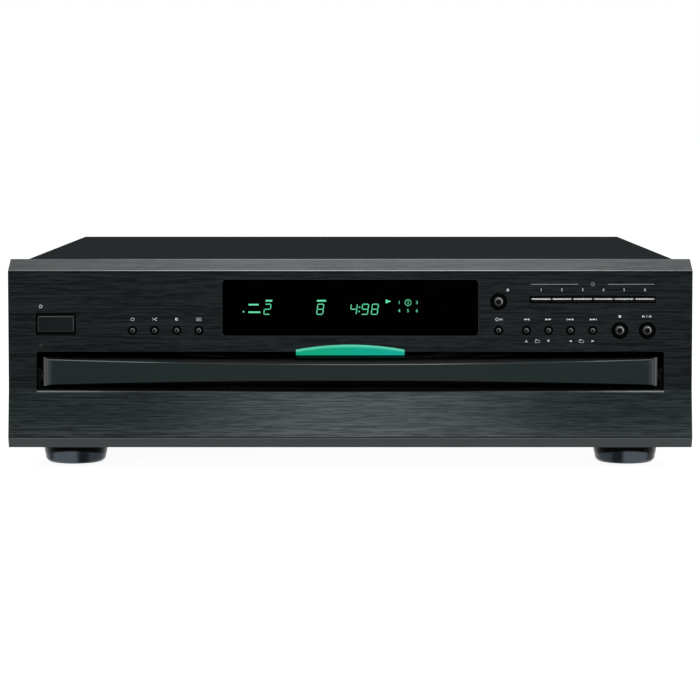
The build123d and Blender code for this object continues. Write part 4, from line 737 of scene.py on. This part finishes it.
def disc(x, z, r, start=0.0, end=360.0, steps=24):
    """A filled circle, or the part of one between an arc and its chord."""
    count = steps if end - start >= 360 else steps + 1
    angles = [radians(start + (end - start) * n / steps) for n in range(count)]
    return [(x + r * cos(t), z + r * sin(t)) for t in angles]


def stroke(start, end, width):
    """A straight line of the given width."""
    along = Vector((end[0] - start[0], end[1] - start[1])).normalized() * width / 2
    side = (-along.y, along.x)
    return [
        (start[0] - side[0], start[1] - side[1]),
        (end[0] - side[0], end[1] - side[1]),
        (end[0] + side[0], end[1] + side[1]),
        (start[0] + side[0], start[1] + side[1]),
    ]


def rounded_ring(x, z, width, height, r, thick, steps=8):
    """The rim of a rounded rectangle, thick wide, as four-sided pieces."""
    inner, outer = [], []
    for cx, cz, start in ((1, 1, 0), (-1, 1, 90), (-1, -1, 180), (1, -1, 270)):
        mx, mz = x + cx * (width / 2 - r), z + cz * (height / 2 - r)
        for n in range(steps + 1):
            t = radians(start + 90 * n / steps)
            inner.append((mx + (r - thick) * cos(t), mz + (r - thick) * sin(t)))
            outer.append((mx + r * cos(t), mz + r * sin(t)))
    cells = []
    for n in range(len(inner)):
        m = (n + 1) % len(inner)
        cells.append([inner[n], outer[n], outer[m], inner[m]])
    return cells


SEGMENTS = {
    "1": "bc", "2": "abged", "3": "abgcd", "4": "fgbc", "5": "afgcd",
    "6": "afgcde", "7": "abc", "8": "abcdefg", "9": "abcdfg", "0": "abcdef",
}


def lit_digit(number, x, z, width=4.4, height=7.0, thick=0.55, lean=0.12):
    """A seven-segment digit, each segment pointed at its ends."""
    w, h, t = width / 2 - thick / 2, height / 2 - thick / 2, thick / 2
    ends = {
        "a": ((-w, h), (w, h)), "g": ((-w, 0), (w, 0)), "d": ((-w, -h), (w, -h)),
        "f": ((-w, 0), (-w, h)), "b": ((w, 0), (w, h)),
        "e": ((-w, -h), (-w, 0)), "c": ((w, -h), (w, 0)),
    }
    tip = 0.12
    gap = tip + t
    shapes = []
    for name in SEGMENTS[number]:
        (u0, v0), (u1, v1) = ends[name]
        if v0 == v1:
            shape = [(u0 + tip, v0), (u0 + gap, v0 - t), (u1 - gap, v0 - t)]
            shape += [(u1 - tip, v0), (u1 - gap, v0 + t), (u0 + gap, v0 + t)]
        else:
            shape = [(u0, v0 + tip), (u0 + t, v0 + gap), (u0 + t, v1 - gap)]
            shape += [(u0, v1 - tip), (u0 - t, v1 - gap), (u0 - t, v0 + gap)]
        shapes.append([(x + u + lean * v, z + v) for u, v in shape])
    return shapes


def flat_piece(name, outlines, y, finish, body="root", thick=0.03):
    """Thin shapes on a plane that faces the front, as one mesh."""
    bm = bmesh.new()
    for points in outlines:
        front = [bm.verts.new((x * MM, (y - thick) * MM, (SEAM_Z + z) * MM)) for x, z in points]
        back = [bm.verts.new((x * MM, y * MM, (SEAM_Z + z) * MM)) for x, z in points]
        bm.faces.new(front)
        for n in range(len(points)):
            m = (n + 1) % len(points)
            bm.faces.new([front[n], back[n], back[m], front[m]])
    bmesh.ops.recalc_face_normals(bm, faces=bm.faces)
    add_piece(name, bm, finish, body)


def add_piece(name, bm, finish, body="root"):
    """Makes the mesh a piece that rides on a body, with the finish in its material slot."""
    mesh = bpy.data.meshes.new(name)
    bm.to_mesh(mesh)
    bm.free()
    piece = bpy.data.objects.new(name, mesh)
    bpy.context.collection.objects.link(piece)
    mesh.materials.append(finish)
    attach(piece, body)
    return piece


def numeral(text, x, z, size):
    """The outline of a plain printed number, as a mesh in millimetres."""
    curve = bpy.data.curves.new("numeral", "FONT")
    curve.body = text
    curve.size = size
    curve.align_x = "CENTER"
    curve.align_y = "CENTER"
    curve.resolution_u = 4
    holder = bpy.data.objects.new("numeral", curve)
    bpy.context.collection.objects.link(holder)
    bpy.context.view_layer.update()
    ready = holder.evaluated_get(bpy.context.evaluated_depsgraph_get())
    mesh = bpy.data.meshes.new_from_object(ready)
    shapes = []
    for polygon in mesh.polygons:
        corners = [mesh.vertices[n].co for n in polygon.vertices]
        shapes.append([(x + corner.x, z + corner.y) for corner in corners])
    bpy.data.objects.remove(holder)
    bpy.data.curves.remove(curve)
    bpy.data.meshes.remove(mesh)
    return shapes


# Marks, lights and trim on the front


def control_marks():
    """Plain numbers and the usual signs beside the controls."""
    shapes = []
    for n, x in enumerate(SELECT_X):
        shapes += numeral(str(n + 1), x, UP_NUMBERS, 2.5)
    shapes += skip_signs() + transport_signs() + folder_signs() + power_sign() + function_signs()
    finish = print_ink("print_ink", (196, 199, 199), (222, 224, 224))
    flat_piece("control_marks", shapes, FACE_Y, finish)


def skip_signs():
    """Eject, search, track and next disc: a sign over each button to the right of the window."""
    z = UP_SIGNS
    shapes = [arrow(100.1, 63.4, 1.9, 1.2, "up"), bar(100.1, 62.35, 1.9, 0.35)]
    for x, way in ((112.0, "left"), (126.0, "right"), (140.0, "left"), (154.2, "right")):
        shapes += [arrow(x - 0.95, z, 1.9, 1.3, way), arrow(x + 0.95, z, 1.9, 1.3, way)]
    shapes += [bar(140.0 - 2.2, z, 0.36, 1.3), bar(154.2 + 2.2, z, 0.36, 1.3)]
    shapes += arc(93.2, z, 0.75, 1.05)
    shapes += [arrow(95.6, z, 1.4, 1.3, "right"), bar(96.6, z, 0.32, 1.3)]
    return shapes


def transport_signs():
    """Stop, and play with pause, over the two large buttons."""
    z = UP_LARGE_SIGNS
    shapes = [bar(171.4, z, 1.5, 1.5), arrow(186.6, z, 2.0, 1.4, "right")]
    shapes += [stroke((188.2, z - 0.8), (188.9, z + 0.8), 0.26)]
    shapes += [bar(x, z, 0.45, 1.4) for x in (190.2, 191.1)]
    return shapes


def folder_signs():
    """Arrows under the four small buttons, with a folder between the arrows of each pair."""
    shapes = []
    for x, way in ((112.0, "up"), (126.0, "down"), (140.0, "left"), (154.3, "right")):
        shapes += [arrow(x, UP_SIGNS_LOW, 1.6, 1.4, way)]
    for x in (119.0, 147.1):
        shapes += rounded_ring(x, UP_SIGNS_LOW - 0.2, 2.9, 1.7, 0.2, 0.16, 2)
        shapes += [bar(x - 0.75, UP_SIGNS_LOW + 0.85, 1.1, 0.35)]
    return shapes


def power_sign():
    """The broken ring with a bar, over the standby button."""
    return arc(STANDBY_X, 52.5, 0.8, 1.08, 120, 420) + [bar(STANDBY_X, 53.3, 0.28, 1.0)]


def function_signs():
    """Signs over the four small buttons on the left: again, mixed, dimmed and shown."""
    z = UP_FUNCTION_SIGNS
    x = -138.5
    shapes = arc(x, z, 0.75, 1.0, 30, 170, 10) + arc(x, z, 0.75, 1.0, 210, 350, 10)
    shapes += [arrow(x + 0.95, z + 0.2, 0.8, 0.7, "down"), arrow(x - 0.95, z - 0.2, 0.8, 0.7, "up")]
    x = -124.4
    shapes += [stroke((x - 1.4, z - 0.7 * way), (x + 0.8, z + 0.7 * way), 0.26) for way in (1, -1)]
    shapes += [arrow(x + 1.2, z + 0.72 * way, 0.8, 0.8, "right") for way in (1, -1)]
    x = -110.4
    shapes += arc(x, z, 0.8, 1.02) + [disc(x, z, 0.82, 90, 270)]
    x = -96.3
    shapes += rounded_ring(x, z, 3.2, 1.9, 0.3, 0.2, 3) + [bar(x, z, 1.7, 0.3)]
    return shapes


def select_line():
    """The thin grey line over the disc buttons, with a disc sign in its middle."""
    shapes = [bar(129.7, UP_LINE, 30.0, 0.42), bar(178.4, UP_LINE, 29.6, 0.42)]
    shapes += arc(154.1, UP_LINE, 0.95, 1.25) + [disc(154.1, UP_LINE, 0.32)]
    finish = print_ink("grey_ink", (118, 121, 121), (142, 144, 144))
    flat_piece("select_line", shapes, FACE_Y, finish)


def display_figures():
    """What the lit display shows: numbers, a play sign, six disc places and level bars."""
    shapes = []
    for number, x in (("2", -52.7), ("8", -19.1), ("4", 2.2), ("9", 9.4), ("8", 15.6)):
        shapes += lit_digit(number, x, UP_FIGURES)
    shapes += [bar(5.9, 52.0, 0.8, 0.8), bar(5.6, 49.3, 0.8, 0.8)]
    shapes += [arrow(24.2, 55.7, 3.4, 2.6, "right")]
    for row, z in enumerate((54.9, 49.7)):
        for column, x in enumerate((31.1, 36.7, 42.3)):
            shapes += numeral(str(3 * row + column + 1), x, z, 2.9)
    shapes += arc(36.7, 54.9, 1.75, 2.1)
    shapes += [bar(-51.7, 56.1, 4.2, 1.1), bar(-18.3, 56.1, 5.8, 1.1)]
    shapes += [bar(-61.5, 53.6, 6.4, 1.0), bar(-61.0, 48.8, 7.6, 1.0), bar(-67.9, 49.1, 0.9, 0.9)]
    flat_piece("display_figures", shapes, WINDOW_Y, tube_glow())


def window_rim():
    """The narrow rim round the window, a painted highlight on the window's edge."""
    shapes = rounded_ring(0, UP_WINDOW, 163.6, 36.6, 2.9, 0.4)
    flat_piece("window_rim", shapes, FACE_Y, window_edge(), thick=0.06)


def lamp_lens():
    """The small standby lamp: a low dome in a shallow collar."""
    bm = bmesh.new()
    x, z, sides, top = STANDBY_X, SEAM_Z + UP_LAMP, 20, 0.46
    rings = []
    for r, rise in ((1.0, 0.0), (0.95, 0.14), (0.72, 0.14), (0.66, 0.3), (0.4, 0.42)):
        ring = []
        for n in range(sides):
            t = tau * n / sides
            place = (x + r * cos(t), FACE_Y - rise, z + r * sin(t))
            ring.append(bm.verts.new([v * MM for v in place]))
        rings.append(ring)
    peak = bm.verts.new((x * MM, (FACE_Y - top) * MM, z * MM))
    for n in range(sides):
        m = (n + 1) % sides
        for low, high in zip(rings, rings[1:]):
            bm.faces.new([low[n], low[m], high[m], high[n]])
        bm.faces.new([rings[-1][n], rings[-1][m], peak])
    bmesh.ops.recalc_face_normals(bm, faces=bm.faces)
    piece = add_piece("standby_light", bm, standby_lamp())
    for polygon in piece.data.polygons:
        polygon.use_smooth = True


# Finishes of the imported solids


def dress_solids():
    """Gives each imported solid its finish. A solid that no line names is a round button."""
    white = acetal()
    zinc = zinc_sheet()
    paint = cover_paint()
    tray = moulded("tray_plastic", (11, 12, 13), (19, 20, 21), 0.42, 0.2)
    frame_plastic = moulded("frame_plastic", (9, 9, 10), (16, 17, 18), 0.5, 0.15)
    carousel_black = carousel_plastic()
    finishes = {
        "front_fascia": brushed_front(),
        "front_base": moulded_front(),
        "display_window": smoked_window(),
        "slot_lens": lit_lens(),
        "control_board": control_board_finish(),
        "top_cover": paint,
        "rear_panel": paint,
        "bottom_chassis": zinc,
        "feet": foot_gloss(),
        "case_screws": black_screw(),
        "rear_jacks": socket_block(),
        "ac_inlet": inlet_mould(),
        "main_board": board("main_board_finish", BOARD_TOP_Z),
        "transformer": transformer_finish(),
        "disc_drawer": tray,
        "drawer_front": drawer_bar(),
        "carousel": carousel_black,
        "carousel_plate": carousel_black,
        "carousel_motor": plated_can("carousel_motor_can"),
        "drive_belt": rubber("belt_rubber", (20, 20, 20), (32, 32, 32)),
        "lift_frame": frame_plastic,
        "pickup_chassis": zinc,
        "damper_bushes": rubber("bush_rubber", (52, 44, 44), (70, 60, 58)),
        "spindle_motor": plated_can("spindle_motor_can"),
        "disc_turntable": moulded("turntable_plastic", (30, 30, 31), (44, 44, 45), 0.3),
        "pickup_sled": sled_finish(),
        "guide_rods": bright_rod("guide_rod_steel"),
        "sled_motor": plated_can("sled_motor_can", "y"),
        "sled_screw": bright_rod("screw_steel", True),
        "loading_motors": plated_can("loading_motor_cans"),
        "loader_frame": frame_plastic,
        "clamp_bridge": zinc,
        "standby_button": satin_cap(),
    }
    bars = bar_cap()
    finishes.update({f"select_{n + 1}_button": bars for n in range(len(SELECT_X))})
    white_pieces = [
        "carousel_pinion", "carousel_idler", "rack_gear", "belt_pulley", "motor_pulley", "cam_slide",
        "lift_gear", "lift_pinion", "disc_clamper",
    ]
    finishes.update({name: white for name in white_pieces})
    for name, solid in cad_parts.items():
        finish = finishes.get(name) or round_cap(name, solid)
        for place in solid.material_slots:
            place.material = finish


# Camera, floor and lights


def aim(thing, target):
    """Turns a thing to face a point."""
    along = Vector(target) - thing.location
    thing.rotation_euler = along.to_track_quat("-Z", "Y").to_euler()


def camera():
    """The camera of the main view."""
    data = bpy.data.cameras.new("camera")
    data.lens = FOCAL
    data.sensor_width = SENSOR
    data.shift_x = SHIFT[0] / PHOTO
    data.shift_y = SHIFT[1] / PHOTO
    eye = bpy.data.objects.new("camera", data)
    eye.location = EYE
    eye.rotation_euler = (radians(90 - DIP), 0, 0)
    bpy.context.collection.objects.link(eye)
    bpy.context.scene.camera = eye


class Backdrop(Paint):
    """The nodes of the floor or the world: white as seen, and plain as a light."""

    def __init__(self, owner, output):
        owner.use_nodes = True
        self.tree = owner.node_tree
        self.tree.nodes.clear()
        out = self.tree.nodes.new(output)
        self.tree.links.new(self.shown().socket, out.inputs[0])

    def seen(self):
        """1 for what the camera sees directly, in a reflection or through glass."""
        kinds = ("Is Camera Ray", "Is Glossy Ray", "Is Transmission Ray")
        direct, reflected, through = (self.add("ShaderNodeLightPath", {}, {}, kind) for kind in kinds)
        return (direct + reflected + through).clamp()

    def shown(self):
        plain, white = self.shaders()
        return self.add("ShaderNodeMixShader", {}, {0: self.seen(), 1: plain, 2: white})


class Sky(Backdrop):
    def shaders(self):
        plain = self.add("ShaderNodeBackground", {}, {0: (0.96, 0.98, 1.0, 1.0), 1: 0.5})
        return plain, self.add("ShaderNodeBackground", {}, {0: (1.0, 1.0, 1.0, 1.0), 1: 1.0})


class Ground(Backdrop):
    def shaders(self):
        plain = self.add("ShaderNodeBsdfDiffuse", {}, {0: (0.75, 0.75, 0.75, 1.0)})
        shade = self.add("ShaderNodeBsdfDiffuse", {}, {0: (0.3, 0.3, 0.3, 1.0)})
        glow = self.add("ShaderNodeEmission", {}, {0: (1.0, 1.0, 1.0, 1.0), 1: 0.9})
        return plain, self.add("ShaderNodeAddShader", {}, {0: shade, 1: glow})


def surroundings():
    """The world: white behind the part, a plain level of light on it."""
    world = bpy.data.worlds.new("studio")
    bpy.context.scene.world = world
    Sky(world, "ShaderNodeOutputWorld")


def floor():
    """A wide pale floor that keeps the shadow of the feet and the case."""
    bm = bmesh.new()
    reach, drop = 30.0, 0.0002
    around = ((-1, -1), (1, -1), (1, 1), (-1, 1))
    bm.faces.new([bm.verts.new((x * reach, y * reach, -drop)) for x, y in around])
    mesh = bpy.data.meshes.new("floor")
    bm.to_mesh(mesh)
    bm.free()
    ground = bpy.data.objects.new("floor", mesh)
    bpy.context.collection.objects.link(ground)
    material = bpy.data.materials.new("floor")
    Ground(material, "ShaderNodeOutputMaterial")
    mesh.materials.append(material)


def lamp(name, place, target, width, height, power):
    """A rectangular area light."""
    data = bpy.data.lights.new(name, "AREA")
    data.shape = "RECTANGLE"
    data.size = width
    data.size_y = height
    data.energy = power
    light = bpy.data.objects.new(name, data)
    light.location = place
    bpy.context.collection.objects.link(light)
    aim(light, target)


def lights():
    """Soft lights over, behind, before and beside the part, and a small one from the right."""
    middle = (0.0, 0.0, 0.07)
    lamp("over_light", (0.0, -0.15, 1.6), middle, 1.6, 0.5, 8)
    lamp("back_light", (0.05, 1.25, 1.7), middle, 1.2, 0.4, 6)
    lamp("front_light", (0.06, -2.7, 0.55), middle, 0.34, 0.3, 9)
    lamp("left_light", (-1.7, -1.2, 0.35), (-0.18, -0.2, 0.05), 0.7, 0.5, 5)
    lamp("right_light", (1.7, -1.2, 0.35), (0.18, -0.2, 0.05), 0.5, 0.5, 4)
    lamp("key_light", (1.0, -1.3, 1.2), (0.12, -0.2, 0.09), 0.4, 0.3, 5)


bpy.context.scene.view_settings.view_transform = "Standard"
camera()
surroundings()
floor()
lights()
dress_solids()
control_marks()
select_line()
display_figures()
window_rim()
lamp_lens()
